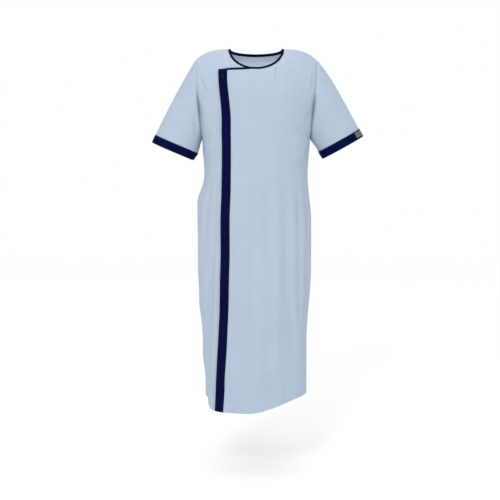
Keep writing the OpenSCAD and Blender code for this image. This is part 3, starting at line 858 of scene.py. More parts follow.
def column_of(x_at, j, side):
    """Column in each row of the width that x_at gives at the middle column's height there."""
    z = height_at(side, j, np.full_like(j, MIDDLE))
    return column_at(x_at(z) / half_width(z))


def underlap_x(z):
    return np.full_like(z, UNDERLAP_REACH)


def near_snap(x, z, width):
    """1 on the press studs, 0 away from them."""
    return sum(bump(np.hypot(x - placket_x(s), z - s), 0, width) for s in SNAP_Z)


def underlap_cloth():
    j = ROWS_FINE
    i = fine_columns(np.zeros(len(j)), column_of(underlap_x, j, FRONT))
    p, n = body_surface(FRONT, j[:, None], i)
    first, _ = distances(p)
    z = height_at(FRONT, j[:, None], i)
    x = share_at(i) * half_width(z)
    rise = 0.0007 * np.clip(near_snap(x, z, 0.012), 0, 1) - seam_dip(first)
    return thickened("underlap_cloth", p, n, rise, CLOTH + rise)


# How far the overlap stands off: away from the band, on it between the press studs, and on them
LIFT_LOW, LIFT_BETWEEN, LIFT_SNAP = 0.0014, 0.0042, 0.0066
OVERLAP_COLUMNS = 118


def overlap_lift(x, z):
    """How far the overlap stands off the hung shape."""
    along = np.clip(sum(bump(z, s, 0.05) for s in SNAP_Z), 0, 1)
    at_band = LIFT_BETWEEN + (LIFT_SNAP - LIFT_BETWEEN) * along
    beside = ramp(x - placket_x(z), 0.020, 0.075)
    return (at_band + (LIFT_LOW - at_band) * beside) * (1 - ramp(x, 0.012, 0.06))


def band_edge(z):
    return placket_x(z) - PLACKET_WIDTH / 2


def overlap_cloth():
    share = fine_shares(OVERLAP_COLUMNS)
    x_top = mix(band_edge(BAND_TOP), SHOULDER_HALF, share)
    i_top = column_at(x_top / SHOULDER_HALF)
    j_top = np.where(x_top < STRAIGHT_TOP_START, place(x_top, overlap_top_z(x_top), FRONT)[0], 0)
    down = ROWS_FINE / TOTAL_ROWS
    j = j_top[None] + (TOTAL_ROWS - j_top[None]) * down[:, None]
    z = height_at(FRONT, j, np.broadcast_to(i_top, j.shape))
    first = column_at(band_edge(z) / half_width(z))
    start = column_at(band_edge(BAND_TOP) / SHOULDER_HALF)
    i = first + (COLUMNS - 1 - first) * ((i_top[None] - start) / (COLUMNS - 1 - start))
    p, n = body_surface(FRONT, j, i)
    z = height_at(FRONT, j, i)
    x = share_at(i) * half_width(z)
    _, last = distances(p)
    rise = overlap_lift(x, z) - seam_dip(last)
    return thickened("overlap_cloth", p, n, rise, CLOTH + rise)


BACK_CLOTH = back_panel_cloth()
UNDERLAP_CLOTH = underlap_cloth()
OVERLAP_CLOTH = overlap_cloth()


# ---------------------------------------------------------------- hems, bindings, band and cuffs
HEM_DEPTH = 0.022
HEM_STRIP_ROWS, HEM_STRIP_COLUMNS = 7, 90


def hem_strip(name, cloth_rise, side, first_column, last_column):
    """The hem turned up inside a panel: a strip behind the cloth along its lower edge."""
    rows = np.linspace(0, 1, HEM_STRIP_ROWS)
    low = np.full(HEM_STRIP_COLUMNS, TOTAL_ROWS * 1.0)
    i = np.linspace(first_column(low[:1])[0] + 0.03, last_column(low[:1])[0] - 0.03, HEM_STRIP_COLUMNS)
    z_step = height_at(side, low, i) - height_at(side, low - 1, i)
    j = low[None] - rows[::-1, None] * (HEM_DEPTH / -z_step)[None]
    i = np.broadcast_to(i, j.shape)
    p, n = body_surface(side, j, i)
    z = height_at(side, j, i)
    x = share_at(i) * half_width(z)
    rise = cloth_rise(x, z)
    return thickened(name, p, n, rise - 0.0013 - 0.0003 * (rows[:, None] < 0.9), rise - 0.0002)


# Outlines of the folded strips: distance into the cloth from its edge and distance off it, in millimetres
BINDING_OUTER = np.array([(7.2, 1.7), (6.6, 1.75), (5.9, 1.5), (5.2, 1.85), (3.6, 2.05), (1.6, 2.1),
                          (-0.3, 1.75), (-1.2, 0.4), (-0.3, -0.9), (1.6, -1.3), (3.6, -1.25), (5.2, -1.1),
                          (5.9, -0.85), (6.6, -1.0), (7.2, -0.95)]) * MM
BINDING_INNER = np.array([(7.2, 0.85), (6.6, 0.85), (5.9, 0.85), (5.2, 0.85), (3.6, 0.85), (1.6, 0.9),
                          (0.1, 0.9), (-0.3, 0.4), (0.1, -0.1), (1.6, -0.1), (3.6, -0.05), (5.2, -0.05),
                          (5.9, -0.05), (6.6, -0.05), (7.2, -0.05)]) * MM
BAND_OUTER = np.array([(29, 2.0), (28, 2.15), (27, 1.8), (26, 2.2), (20, 2.3), (14.5, 2.3), (9, 2.3),
                       (4, 2.25), (2.6, 1.8), (1.4, 2.15), (-0.4, 1.9), (-1.2, 0.4), (-0.4, -0.65),
                       (1.4, -0.85), (4, -0.9), (14.5, -0.9), (26, -0.85), (29, -0.8)]) * MM
BAND_INNER = np.array([(29, 0.85), (28, 0.85), (27, 0.85), (26, 0.85), (20, 0.85), (14.5, 0.85),
                       (9, 0.85), (4, 0.85), (2.6, 0.85), (1.4, 0.85), (0.2, 0.85), (-0.1, 0.4),
                       (0.2, -0.05), (1.4, -0.05), (4, -0.05), (14.5, -0.05), (26, -0.05), (29, -0.05)]) * MM
CUFF_OUTER = np.array([(28, 1.9), (27, 2.1), (26, 1.75), (25, 2.15), (20, 2.3), (14, 2.35), (7, 2.3),
                       (2, 2.2), (-0.5, 1.9), (-1.3, 0.4), (-0.5, -0.9), (2, -1.15), (7, -1.2),
                       (14, -1.2), (20, -1.2), (25, -1.1), (26, -0.8), (28, -0.95)]) * MM
CUFF_INNER = np.array([(28, 0.85), (27, 0.85), (26, 0.85), (25, 0.85), (20, 0.85), (14, 0.85),
                       (7, 0.85), (2, 0.85), (0.2, 0.85), (-0.1, 0.4), (0.2, -0.05), (2, -0.05),
                       (7, -0.05), (14, -0.05), (20, -0.05), (25, -0.05), (26, -0.05), (28, -0.05)]) * MM


def bound_edge(name, edge, depth, normal, rise, widening):
    """A binding folded over an edge, from its points, directions into the cloth, normals and lift.

    The widening is how much wider than the outside the inside leg is."""
    grids = []
    for path in (BINDING_OUTER, BINDING_INNER):
        inside = np.where((path[:, 1] < 0) & (path[:, 0] > 0), 1, 0)
        reach = path[None, :, 0] * (1 + inside[None] * widening[:, None])
        away = reach[..., None] * depth[:, None]
        out = (path[None, :, 1] + rise[:, None])[..., None] * normal[:, None]
        grids.append(edge[:, None] + away + out)
    return solid_between(name, *grids)


def edge_frames(point_at, params):
    """Points, directions into the cloth, normals and lift along an edge.

    point_at gives the side, width and height at a place along the edge and a distance below it."""
    frames = []
    for s in params:
        side, x, z = point_at(s, 0.0)
        edge, normal = body_surface(side, *place(x, z, side))
        _, low_x, low_z = point_at(s, BINDING_WIDTH)
        low, low_normal = body_surface(side, *place(low_x, low_z, side))
        depth = unit(low - edge)
        normal = normal + low_normal
        normal = unit(normal - depth * (normal @ depth))
        frames.append((edge, depth, normal, float(overlap_lift(x, z))))
    return [np.array(values) for values in zip(*frames)]


BACK_TAPE = 0.5               # the neck binding's inside leg is this much wider at the back
TAPE_START, TAPE_FULL, TAPE_FADE, TAPE_END = 4.72, 5.3, 7.3, 7.84  # turns round the neck
BACK_TURN = 4                 # turns above this one are on the back of the neck
CURVE_TURN = 10               # added to the turns of the curved part of the overlap's top edge
CURVE_SPLIT = 5               # places above this one are on the curved part


def smoothed(values, times):
    """A row of vectors smoothed along its length, its ends kept."""
    for _ in range(times):
        values = values.copy()
        values[1:-1] = (values[:-2] + 2 * values[1:-1] + values[2:]) / 4
    return values


def squared(depth, normal, times):
    """Smoothed directions into the cloth, with smoothed normals at right angles to them."""
    depth, normal = smoothed(depth, times), smoothed(normal, times)
    normal = normal - depth * (normal * depth).sum(1, keepdims=True)
    return unit(depth), unit(normal)


def neck_arc(side, angle, b):
    """Side, width and height on the neckline at an angle from its middle and a distance below it."""
    x = (NECK_HALF + b) * math.sin(angle)
    return side, x, min(-(NECK_DROP[side] + b) * math.cos(angle), float(shoulder_z(x)))


def neck_place(s, b):
    """Side, width and height at a turn round the neck and a distance below its edge."""
    if s > BACK_TURN:
        return neck_arc(BACK, s - 2 * math.pi, b)
    return neck_arc(FRONT, s, b)


def overlap_place(s, b):
    """Side, width and height at a place along the overlap's top edge and a distance below it."""
    if s > CURVE_SPLIT:
        return neck_arc(FRONT, s - CURVE_TURN, b)
    return FRONT, s, float(overlap_top_z(s)) - b


def neck_frames():
    """From the underlap's free edge over the wearer's right neck point and the back to the left one."""
    front = np.linspace(math.asin(UNDERLAP_REACH / NECK_HALF), -math.pi / 2, 90)
    back = np.linspace(-math.pi / 2, math.pi / 2, 90)[1:] + 2 * math.pi
    params = np.concatenate([front, back])
    edge, depth, normal, rise = edge_frames(neck_place, params)
    depth, normal = squared(depth, normal, 12)
    tape = BACK_TAPE * ramp(params, TAPE_START, TAPE_FULL) * (1 - ramp(params, TAPE_FADE, TAPE_END))
    return edge, depth, normal, 0 * rise, tape


def overlap_frames():
    """Along the overlap's top edge from the placket band to the wearer's left neck point."""
    start = float(band_edge(BAND_TOP)) + PLACKET_WIDTH - 0.004
    straight = np.linspace(start, STRAIGHT_TOP_START, 40)
    curve = np.linspace(math.asin(STRAIGHT_TOP_START / NECK_HALF), math.pi / 2, 70)[1:]
    params = np.concatenate([straight, curve + CURVE_TURN])
    edge, depth, normal, rise = edge_frames(overlap_place, params)
    depth, normal = squared(depth, normal, 10)
    settle = 1 - ramp(params - CURVE_TURN, 1.2, math.pi / 2)
    rise = np.where(params > CURVE_SPLIT, rise * settle, rise) + 0.0004
    return smoothed(edge, 3), depth, normal, rise, 0 * rise


BAND_ROWS = 260


def band_point(z, b):
    """Point and normal of the drape at a distance across the placket band, past its edge too."""
    x = band_edge(z) + np.maximum(b, 0)
    p, n = body_surface(FRONT, *place(x, z, FRONT))
    beyond = np.minimum(b, 0)[..., None] if np.ndim(b) else min(b, 0)
    q = body_surface(FRONT, *place(x + 0.003, z, FRONT))[0]
    return p + unit(q - p) * beyond, n, x


def placket_band():
    share = np.linspace(0, 1, BAND_ROWS)
    grids = []
    for path in (BAND_OUTER, BAND_INNER):
        b = np.broadcast_to(path[None, :, 0], (len(share), len(path)))
        x_top = band_edge(BAND_TOP) + b
        x_low = band_edge(-GOWN_LENGTH) + b
        z = mix(overlap_top_z(x_top) - 0.0005, front_hem_z(x_low) - 0.0008, share[:, None])
        p, n, x = band_point(z, b)
        rise = overlap_lift(x, z)
        grids.append(p + n * (rise + path[None, :, 1])[..., None])
    return solid_between("placket_band_cloth", *grids)


def cuff_ring(b):
    """Fractional ring at a distance from the sleeve's edge."""
    return SLEEVE_RINGS - b / (CUFF_HEIGHT / CUFF_RINGS)


def cuff_point(side, a, b, n):
    """Point on a sleeve's end at a place round it, a distance from its edge and off its cloth."""
    p, normal = sleeve_surface(side, cuff_ring(np.maximum(b, 0)), a)
    down, _ = sleeve_frame(side)
    return p + normal * n[..., None] - down * np.minimum(b, 0)[..., None]


SLEEVE_STEPS = np.linspace(0, AROUND, 2 * AROUND + 1)[:-1]


def cuff_cloth(side, name):
    grids = []
    for path in (CUFF_OUTER, CUFF_INNER):
        b, n = [np.broadcast_to(path[None, :, c], (len(SLEEVE_STEPS), len(path))) for c in (0, 1)]
        grids.append(cuff_point(side, SLEEVE_STEPS[:, None], b, n))
    return solid_between(name, *grids, wrap=True)


def sleeve_cloth(side, name):
    k = np.concatenate([[0, 0.1, 0.25], np.arange(1, 2 * SLEEVE_RINGS) / 2, [SLEEVE_RINGS - 0.06]])
    p, n = sleeve_surface(side, k[None, :], SLEEVE_STEPS[:, None])
    dip = seam_dip(distances(p)[0]) + 0.0002
    return thickened(name, p, n, -dip, CLOTH - dip, wrap=True)


# ---------------------------------------------------------------- stitches
def along_line(at, run, vectors):
    """Vectors of a line at distances along it, from the distances of its own points."""
    return np.stack([np.interp(at, run, vectors[:, c]) for c in range(3)], 1)


def stitch_lines(name, lines, pitch=0.0031, length=0.0022, width=0.00055):
    """Raised lock stitches along lines of points with outward normals."""
    points, faces = [], []
    for line, normals in lines:
        run = np.concatenate([[0], np.cumsum(np.linalg.norm(np.diff(line, axis=0), axis=1))])
        at = np.arange(pitch / 2, run[-1] - pitch / 2, pitch)
        centre, normal = along_line(at, run, line), along_line(at, run, normals)
        ahead = unit(along_line(at + 0.0006, run, line) - centre)
        across = np.cross(ahead, normal)
        corners = [centre - ahead * length / 2 - normal * 0.0001,
                   centre + ahead * length / 2 - normal * 0.0001,
                   centre + across * width / 2, centre + normal * width * 0.55,
                   centre - across * width / 2, centre - normal * width * 0.5]
        start = len(points) + 6 * np.arange(len(at))
        points.extend(np.stack(corners, 1).reshape(-1, 3))
        for k in range(4):
            a, b = 2 + k, 2 + (k + 1) % 4
            faces.extend(np.stack([start, start + b, start + a], 1).tolist())
            faces.extend(np.stack([start + 1, start + a, start + b], 1).tolist())
    return new_object(name, points, faces)


HEM_STITCH_ABOVE = 0.020


def hem_line(side, x0, x1):
    """A stitched line a distance above the hem."""
    i = column_at(np.linspace(x0, x1, 240) / CHEST_HALF)
    low = np.full(len(i), TOTAL_ROWS * 1.0)
    step = height_at(side, low - 1, i) - height_at(side, low, i)
    return low - HEM_STITCH_ABOVE / step, i


SEAM_STITCH_AWAY = 0.005      # the stitches beside a seam are this far from it


def seam_line(side, edge):
    """A stitched line beside an armhole, on the body, from the shoulder to the underarm."""
    j = np.linspace(0.35, YOKE_ROWS - 0.2, 120)
    column = 0 if edge == RIGHT else COLUMNS - 1
    near = sample(DRAPE[side], j, np.full_like(j, column))
    inner = sample(DRAPE[side], j, np.full_like(j, column - edge))
    step = np.linalg.norm(near - inner, axis=1)
    return j, column - edge * SEAM_STITCH_AWAY / step


def shoulder_line(edge):
    """A stitched line behind a shoulder seam, on the back."""
    i = MIDDLE + edge * np.linspace(NECK_COLUMNS + 0.8, MIDDLE - 0.3, 90)
    near = sample(DRAPE[BACK], np.zeros_like(i), i)
    inner = sample(DRAPE[BACK], np.ones_like(i), i)
    return SEAM_STITCH_AWAY / np.linalg.norm(near - inner, axis=1), i


# ---------------------------------------------------------------- the pieces
def nothing(x, z):
    return 0 * x


def at_first(j):
    return np.zeros(len(j))


def at_last(j):
    return np.full(len(j), COLUMNS - 1.0)


def at_underlap_edge(j):
    return column_of(underlap_x, j, FRONT)


def inside_band_x(z):
    return band_edge(z) + 0.004


def at_band(j):
    return column_of(inside_band_x, j, FRONT)


BACK_HEM = hem_strip("back_hem", nothing, BACK, at_first, at_last)
UNDERLAP_HEM = hem_strip("underlap_hem", nothing, FRONT, at_first, at_underlap_edge)
OVERLAP_HEM = hem_strip("overlap_hem", overlap_lift, FRONT, at_band, at_last)
NECK_LINE = neck_frames()
OVERLAP_LINE = overlap_frames()
NECK_BINDING = bound_edge("neck_binding_cloth", *NECK_LINE)
OVERLAP_BINDING = bound_edge("overlap_binding_cloth", *OVERLAP_LINE)
PLACKET_BAND = placket_band()
CUFFS = {RIGHT: cuff_cloth(RIGHT, "right_cuff_cloth"), LEFT: cuff_cloth(LEFT, "left_cuff_cloth")}
SLEEVES = {RIGHT: sleeve_cloth(RIGHT, "right_sleeve_cloth"), LEFT: sleeve_cloth(LEFT, "left_sleeve_cloth")}
LABEL_TOP, LABEL_LOW = -0.7, -0.746
LABEL_WIDTH, LABEL_INSET = 0.034, 0.012


def label_sheet():
    """The care label: sewn along its outer edge into the left side seam, its free end lifting a little."""
    share = np.linspace(0, 1, 18)
    z = np.linspace(LABEL_TOP, LABEL_LOW, 24)
    x = half_width(z)[:, None] - LABEL_INSET - LABEL_WIDTH * share[None]
    p, n = body_surface(BACK, *place(x, np.broadcast_to(z[:, None], x.shape), BACK))
    lift = 0.0014 + 0.0022 * share[None] ** 2 + 0.0008 * np.sin(share[None] * 5 + z[:, None] * 60)
    return solid_between("care_label_cloth", p - n * lift[..., None], p - n * (lift + 0.0004)[..., None])


TAG_TURN = math.radians(32)   # the tag's width round the cuff
TAG_ANGLE = math.radians(33)  # the place of its middle round the cuff
TAG_TOP, TAG_LOW = 0.024, 0.004


def tag_sheet():
    """The small woven tag sewn on the left cuff's outside, towards the front."""
    angles = loop_angles(armhole_loop(base_grid(FRONT), base_grid(BACK), LEFT))
    turn = np.linspace(-TAG_ANGLE - TAG_TURN / 2, -TAG_ANGLE + TAG_TURN / 2, 26)
    way = 1 if angles[2] > angles[0] else -1
    a = np.interp(way * turn % (2 * math.pi), np.abs(angles - angles[0]), np.arange(len(angles)))
    grid_b, grid_a = np.meshgrid(np.linspace(TAG_TOP, TAG_LOW, 12), a, indexing="ij")
    edge = np.minimum(np.abs(grid_b - TAG_LOW), np.abs(grid_b - TAG_TOP))
    n = 0.0026 + 0.0002 * ramp(edge, 0, 0.003)
    return solid_between("cuff_tag_cloth", cuff_point(LEFT, grid_a, grid_b, n + 0.0005),
                         cuff_point(LEFT, grid_a, grid_b, n))


CARE_LABEL = label_sheet()
CUFF_TAG = tag_sheet()


BINDING_STITCH_IN, BINDING_STITCH_OUT = 0.0059, 0.00155  # distance from the edge and off the cloth
BAND_STITCH_OUT, CUFF_STITCH_IN, CUFF_STITCH_OUT = 0.00185, 0.026, 0.0018


def binding_stitches(name, line):
    edge, depth, normal, rise, _ = line
    points = edge + depth * BINDING_STITCH_IN + normal * (rise + BINDING_STITCH_OUT)[:, None]
    return stitch_lines(name, [(points[1:-1], normal[1:-1])], pitch=0.0027)


BAND_STITCHES_AT = (0.0026, 0.027)  # distances of the band's two stitched lines from its edge


def band_stitches():
    lines = []
    for b in BAND_STITCHES_AT:
        top = float(overlap_top_z(band_edge(BAND_TOP) + b)) - 0.004
        low = float(front_hem_z(band_edge(-GOWN_LENGTH) + b)) + 0.003
        z = np.linspace(top, low, 500)
        p, n, x = band_point(z, np.full_like(z, b))
        lines.append((p + n * (overlap_lift(x, z) + BAND_STITCH_OUT)[:, None], n))
    return stitch_lines("placket_stitches", lines)


def cuff_stitches(side, name):
    a = np.linspace(0, AROUND, 220)
    b = np.full_like(a, CUFF_STITCH_IN)
    p = cuff_point(side, a, b, np.full_like(a, CUFF_STITCH_OUT))
    _, n = sleeve_surface(side, cuff_ring(b), a)
    return stitch_lines(name, [(p, n)])


def on_cloth(side, j, i):
    """A stitched line on the outside of the cloth."""
    p, n = body_surface(side, j, i)
    return p + n * CLOTH, n


def gown_stitches():
    lines = [on_cloth(side, *seam_line(side, edge)) for side in (FRONT, BACK) for edge in (RIGHT, LEFT)]
    lines += [on_cloth(BACK, *shoulder_line(edge)) for edge in (RIGHT, LEFT)]
    lines.append(on_cloth(BACK, *hem_line(BACK, -HEM_STITCH_END, HEM_STITCH_END)))
    before_band = float(band_edge(-GOWN_LENGTH)) - 0.004
    lines.append(on_cloth(FRONT, *hem_line(FRONT, -HEM_STITCH_END, before_band)))
    return stitch_lines("gown_stitches", lines)


def overlap_hem_stitches():
    j, i = hem_line(FRONT, float(band_edge(-GOWN_LENGTH)) + PLACKET_WIDTH + 0.001, HEM_STITCH_END)
    p, n = body_surface(FRONT, j, i)
    x = share_at(i) * CHEST_HALF
    z = height_at(FRONT, j, i)
    return stitch_lines("overlap_hem_stitches", [(p + n * (CLOTH + overlap_lift(x, z))[:, None], n)])


NECK_STITCHES = binding_stitches("neck_stitches", NECK_LINE)
OVERLAP_STITCHES = binding_stitches("overlap_neck_stitches", OVERLAP_LINE)
BAND_STITCHES = band_stitches()
GOWN_STITCHES = gown_stitches()
OVERLAP_HEM_STITCHES = overlap_hem_stitches()
CUFF_STITCHES = {RIGHT: cuff_stitches(RIGHT, "right_cuff_stitches"),
                 LEFT: cuff_stitches(LEFT, "left_cuff_stitches")}


# ---------------------------------------------------------------- materials
class Nodes:
    """Small helper that adds and links shader nodes."""

    def __init__(self, name):
        self.material = bpy.data.materials.new(name)
        self.material.use_nodes = True
        self.tree = self.material.node_tree
        self.tree.nodes.clear()
        self.shader = self.add("ShaderNodeBsdfPrincipled")
        output = self.add("ShaderNodeOutputMaterial")
        self.tree.links.new(self.shader.outputs[0], output.inputs["Surface"])

    def add(self, kind, **settings):
        node = self.tree.nodes.new(kind)
        for key, value in settings.items():
            setattr(node, key, value)
        return node

    def give(self, socket, value):
        if isinstance(value, bpy.types.NodeSocket):
            self.tree.links.new(value, socket)
        else:
            socket.default_value = value

    def math(self, operation, *values):
        node = self.add("ShaderNodeMath", operation=operation)
        for socket, value in zip(node.inputs, values):
            self.give(socket, value)
        return node.outputs[0]

    def colours(self, share, a, b):
        node = self.add("ShaderNodeMix", data_type="RGBA")
        self.give(node.inputs[0], share)
        self.give(node.inputs[6], a)
        self.give(node.inputs[7], b)
        return node.outputs[2]

    def noise(self, vector, scale, detail=3.0, rough=0.5):
        node = self.add("ShaderNodeTexNoise")
        self.give(node.inputs["Vector"], vector)
        node.inputs["Scale"].default_value = scale
        node.inputs["Detail"].default_value = detail
        node.inputs["Roughness"].default_value = rough
        return node.outputs["Fac"]

    def uv(self):
        split = self.add("ShaderNodeSeparateXYZ")
        self.give(split.inputs[0], self.add("ShaderNodeUVMap", uv_map="cloth").outputs[0])
        return split.outputs[0], split.outputs[1]

    def bump(self, height, distance, strength=1.0, before=None):
        node = self.add("ShaderNodeBump")
        self.give(node.inputs["Height"], height)
        node.inputs["Distance"].default_value = distance
        node.inputs["Strength"].default_value = strength
        if before is not None:
            self.give(node.inputs["Normal"], before)
        return node.outputs[0]


def half_wave(nodes, value, period):
    """A sine from 0 to 1 with a period in metres."""
    sine = nodes.math("SINE", nodes.math("MULTIPLY", value, 2 * math.pi / period))
    return nodes.math("ADD", nodes.math("MULTIPLY", sine, 0.5), 0.5)


def woven(name, base, light, dark, check, thread, rough, sheen, shine):
    """Woven cloth: plain threads with a fine check or twill threads, soft creases and colour variation."""
    nodes = Nodes(name)
    u, v = nodes.uv()
    objects = nodes.add("ShaderNodeTexCoord").outputs["Object"]
    cloud = nodes.noise(objects, 9.0, 4.0)
    fleck = nodes.noise(objects, 900.0, 2.0)
    warp, weft = half_wave(nodes, u, thread), half_wave(nodes, v, thread)
    if check:
        stripe_u = nodes.math("GREATER_THAN", half_wave(nodes, u, check), 0.62)
        stripe_v = nodes.math("GREATER_THAN", half_wave(nodes, v, check), 0.62)
        lines = nodes.math("MULTIPLY", nodes.math("ADD", stripe_u, stripe_v), 0.5)
        over = nodes.math("MULTIPLY_ADD", warp, 0.2, 0.5)
        lines = nodes.math("MULTIPLY", lines, nodes.math("ADD", 0.8, over))
        colour = nodes.colours(lines, base, light)
        height = nodes.math("MULTIPLY", warp, weft)
    else:
        slant = nodes.math("ADD", u, v)
        height = half_wave(nodes, slant, thread * 1.8)
        colour = nodes.colours(nodes.math("MULTIPLY", height, 0.5), base, light)
    colour = nodes.colours(nodes.math("MULTIPLY", cloud, 0.30), colour, dark)
    colour = nodes.colours(nodes.math("MULTIPLY", fleck, 0.10), colour, light)
    shader = nodes.shader
    nodes.give(shader.inputs["Base Color"], colour)
    uneven = nodes.math("MULTIPLY", fleck, 0.12)
    nodes.give(shader.inputs["Roughness"], nodes.math("ADD", uneven, rough - 0.06))
    shader.inputs["Sheen Weight"].default_value = sheen
    shader.inputs["Sheen Roughness"].default_value = 0.45
    shader.inputs["Specular IOR Level"].default_value = shine
    creases = nodes.noise(objects, 34.0, 4.0, 0.55)
    soft = nodes.bump(creases, 0.0012, 0.45)
    weave = nodes.bump(height, 0.00012, 0.8, soft)
    nodes.give(shader.inputs["Normal"], weave)
    return nodes.material


GOWN_CLOTH = woven("gown_weave", (0.290, 0.370, 0.485, 1), (0.535, 0.620, 0.705, 1),
                   (0.268, 0.328, 0.465, 1), 0.0036, 0.0006, 0.86, 0.10, 0.15)
NAVY_TWILL = woven("navy_twill", (0.0012, 0.0026, 0.034, 1), (0.003, 0.005, 0.052, 1),
                   (0.001, 0.002, 0.022, 1), 0, 0.0007, 0.85, 0.0, 0.04)
LABEL_SATIN = woven("label_satin", (0.66, 0.67, 0.66, 1), (0.74, 0.75, 0.75, 1), (0.56, 0.57, 0.56, 1),
                    0, 0.0004, 0.45, 0.10, 0.30)
TAG_SATIN = woven("tag_satin", (0.062, 0.068, 0.082, 1), (0.185, 0.192, 0.208, 1), (0.036, 0.040, 0.055, 1),
                  0.0052, 0.0004, 0.55, 0.05, 0.20)


def thread_material(name, colour, light):
    nodes = Nodes(name)
    objects = nodes.add("ShaderNodeTexCoord").outputs["Object"]
    twist = nodes.noise(objects, 2600.0, 1.0)
    nodes.give(nodes.shader.inputs["Base Color"], nodes.colours(twist, colour, light))
    nodes.shader.inputs["Roughness"].default_value = 0.55
    nodes.shader.inputs["Sheen Weight"].default_value = 0.2
    nodes.give(nodes.shader.inputs["Normal"], nodes.bump(twist, 0.0002, 0.6))
    return nodes.material


def resin_material():
    nodes = Nodes("navy_resin")
    objects = nodes.add("ShaderNodeTexCoord").outputs["Object"]
    grain = nodes.noise(objects, 1500.0, 3.0)
    worn = nodes.noise(objects, 160.0, 2.0)
    shade = nodes.math("MULTIPLY", worn, 0.4)
    nodes.give(nodes.shader.inputs["Base Color"],
               nodes.colours(shade, (0.002, 0.004, 0.036, 1), (0.004, 0.007, 0.055, 1)))
    nodes.give(nodes.shader.inputs["Roughness"], nodes.math("ADD", nodes.math("MULTIPLY", worn, 0.2), 0.50))
    nodes.shader.inputs["Specular IOR Level"].default_value = 0.05
    nodes.give(nodes.shader.inputs["Normal"], nodes.bump(grain, 0.0001, 0.25))
    return nodes.material


PALE_THREAD = thread_material("pale_thread", (0.34, 0.42, 0.53, 1), (0.44, 0.52, 0.62, 1))
NAVY_THREAD = thread_material("navy_thread", (0.008, 0.011, 0.060, 1), (0.030, 0.036, 0.120, 1))
RESIN = resin_material()


def dress(material, slot, *objects):
    """Give objects a material. The slot is not used."""
    for obj in objects:
        obj.data.materials.append(material)


dress(GOWN_CLOTH, "gown_cloth", BACK_CLOTH, UNDERLAP_CLOTH, OVERLAP_CLOTH, BACK_HEM, UNDERLAP_HEM,
      OVERLAP_HEM, *SLEEVES.values())
dress(NAVY_TWILL, "navy_cloth", NECK_BINDING, OVERLAP_BINDING, PLACKET_BAND, *CUFFS.values())
dress(LABEL_SATIN, "label_cloth", CARE_LABEL)
dress(TAG_SATIN, "label_cloth", CUFF_TAG)
dress(PALE_THREAD, "gown_cloth", GOWN_STITCHES, OVERLAP_HEM_STITCHES)
dress(NAVY_THREAD, "navy_cloth", NECK_STITCHES, OVERLAP_STITCHES, BAND_STITCHES, *CUFF_STITCHES.values())

# ---------------------------------------------------------------- bodies, and hiding the CAD parts that the pieces replace
for _piece in (BACK_CLOTH, UNDERLAP_CLOTH, BACK_HEM, UNDERLAP_HEM, NECK_BINDING, NECK_STITCHES,
               GOWN_STITCHES, CARE_LABEL):
    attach(_piece, "gown_body")
for _piece in (PLACKET_BAND, BAND_STITCHES):
    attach(_piece, "front_flap")
# The overlap's pieces stay unattached, with their places baked into their meshes
for _piece in (OVERLAP_CLOTH, OVERLAP_HEM, OVERLAP_BINDING, OVERLAP_STITCHES, OVERLAP_HEM_STITCHES):
    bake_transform(_piece)
for _side, _body in ((RIGHT, "right_sleeve_body"), (LEFT, "left_sleeve_body")):
    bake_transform(SLEEVES[_side])
    for _piece in (CUFFS[_side], CUFF_STITCHES[_side]):
        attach(_piece, _body)
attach(CUFF_TAG, "left_sleeve_body")

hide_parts("back_panel")
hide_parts("underlap_panel")
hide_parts("overlap_side_panel", "overlap_flap_panel")
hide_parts("placket_band")
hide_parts("neck_binding")
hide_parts("overlap_neck_binding")
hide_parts("right_sleeve")
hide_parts("left_sleeve")
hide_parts("right_cuff")
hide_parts("left_cuff")
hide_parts("cuff_tag")
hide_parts("care_label")

for _node in ("snap_caps", "snap_sockets", "snap_studs", "snap_backs"):
    for _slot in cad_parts[_node].material_slots:
        _slot.material = RESIN

# ---------------------------------------------------------------- floor, light and camera
FLOOR_Z = -1.468
FLOOR_HALF = 6
CAMERA_AT, CAMERA_AIM = Vector((-0.021, -3.6, -0.30)), Vector((-0.021, 0, -0.691))
AMBIENT, OVERHEAD = 0.36, 1.05  # how bright the white surroundings are as a light, all round and above


def floor():
    points = [(x * FLOOR_HALF, y * FLOOR_HALF, FLOOR_Z) for x, y in ((-1, -1), (1, -1), (1, 1), (-1, 1))]
    ground = new_object("floor", points, [(0, 1, 2, 3)], smooth=False)
    nodes = Nodes("pale_floor")
    nodes.shader.inputs["Base Color"].default_value = (0.93, 0.93, 0.93, 1)
    nodes.shader.inputs["Roughness"].default_value = 0.9
    ground.data.materials.append(nodes.material)


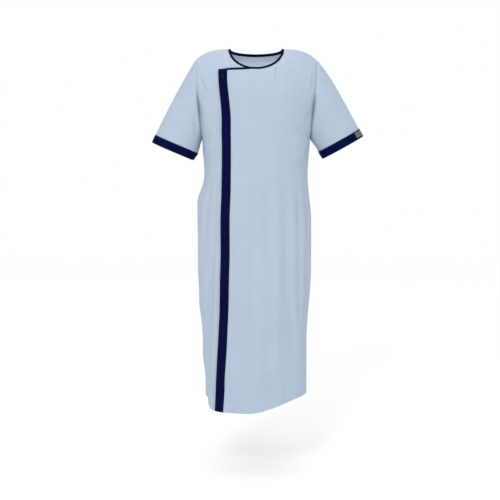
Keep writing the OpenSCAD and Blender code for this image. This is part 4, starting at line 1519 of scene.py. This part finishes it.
def area_light(name, place_at, aim, size, power, only=()):
    """A round light; when some objects are given, it reaches only those."""
    light = bpy.data.lights.new(name, "AREA")
    light.shape = "DISK"
    light.size = size
    light.energy = power
    lamp = bpy.data.objects.new(name, light)
    bpy.context.scene.collection.objects.link(lamp)
    lamp.location = place_at
    lamp.rotation_euler = (Vector(aim) - Vector(place_at)).to_track_quat("-Z", "Y").to_euler()
    if only:
        lit = bpy.data.collections.new(name + "_lights")
        for obj in only:
            lit.objects.link(obj)
        lamp.light_linking.receiver_collection = lit


def camera():
    lens = bpy.data.cameras.new("camera")
    eye = bpy.data.objects.new("camera", lens)
    bpy.context.scene.collection.objects.link(eye)
    lens.lens = 74.5
    eye.location = CAMERA_AT
    eye.rotation_euler = (CAMERA_AIM - CAMERA_AT).to_track_quat("-Z", "Y").to_euler()
    bpy.context.scene.camera = eye


def studio():
    """White surroundings that light the object more from above than from the sides, and three lights."""
    world = bpy.data.worlds.new("studio")
    bpy.context.scene.world = world
    world.use_nodes = True
    tree = world.node_tree
    sky = tree.nodes["Background"]
    sky.inputs["Color"].default_value = (1, 1, 1, 1)
    up = tree.nodes.new("ShaderNodeSeparateXYZ")
    tree.links.new(tree.nodes.new("ShaderNodeTexCoord").outputs["Generated"], up.inputs[0])
    light = tree.nodes.new("ShaderNodeMath")
    light.operation = "MULTIPLY_ADD"
    above = tree.nodes.new("ShaderNodeMath")
    above.operation = "MAXIMUM"
    tree.links.new(up.outputs[2], above.inputs[0])
    above.inputs[1].default_value = 0
    tree.links.new(above.outputs[0], light.inputs[0])
    light.inputs[1].default_value = OVERHEAD
    light.inputs[2].default_value = AMBIENT
    seen = tree.nodes.new("ShaderNodeMix")
    tree.links.new(tree.nodes.new("ShaderNodeLightPath").outputs["Is Camera Ray"], seen.inputs[0])
    tree.links.new(light.outputs[0], seen.inputs[2])
    seen.inputs[3].default_value = 1
    tree.links.new(seen.outputs[0], sky.inputs["Strength"])
    area_light("key", (-0.9, -2.9, 1.5), (0, 0, -0.40), 1.3, 42)
    area_light("fill", (1.3, -2.6, 1.3), (0, 0, -0.2), 1.6, 9)
    area_light("inside", (0, -2.5, 0.35), (0, 0.1, -0.04), 0.6, 62, only=[BACK_CLOTH])
    bpy.context.scene.view_settings.view_transform = "Standard"


floor()
studio()
camera()
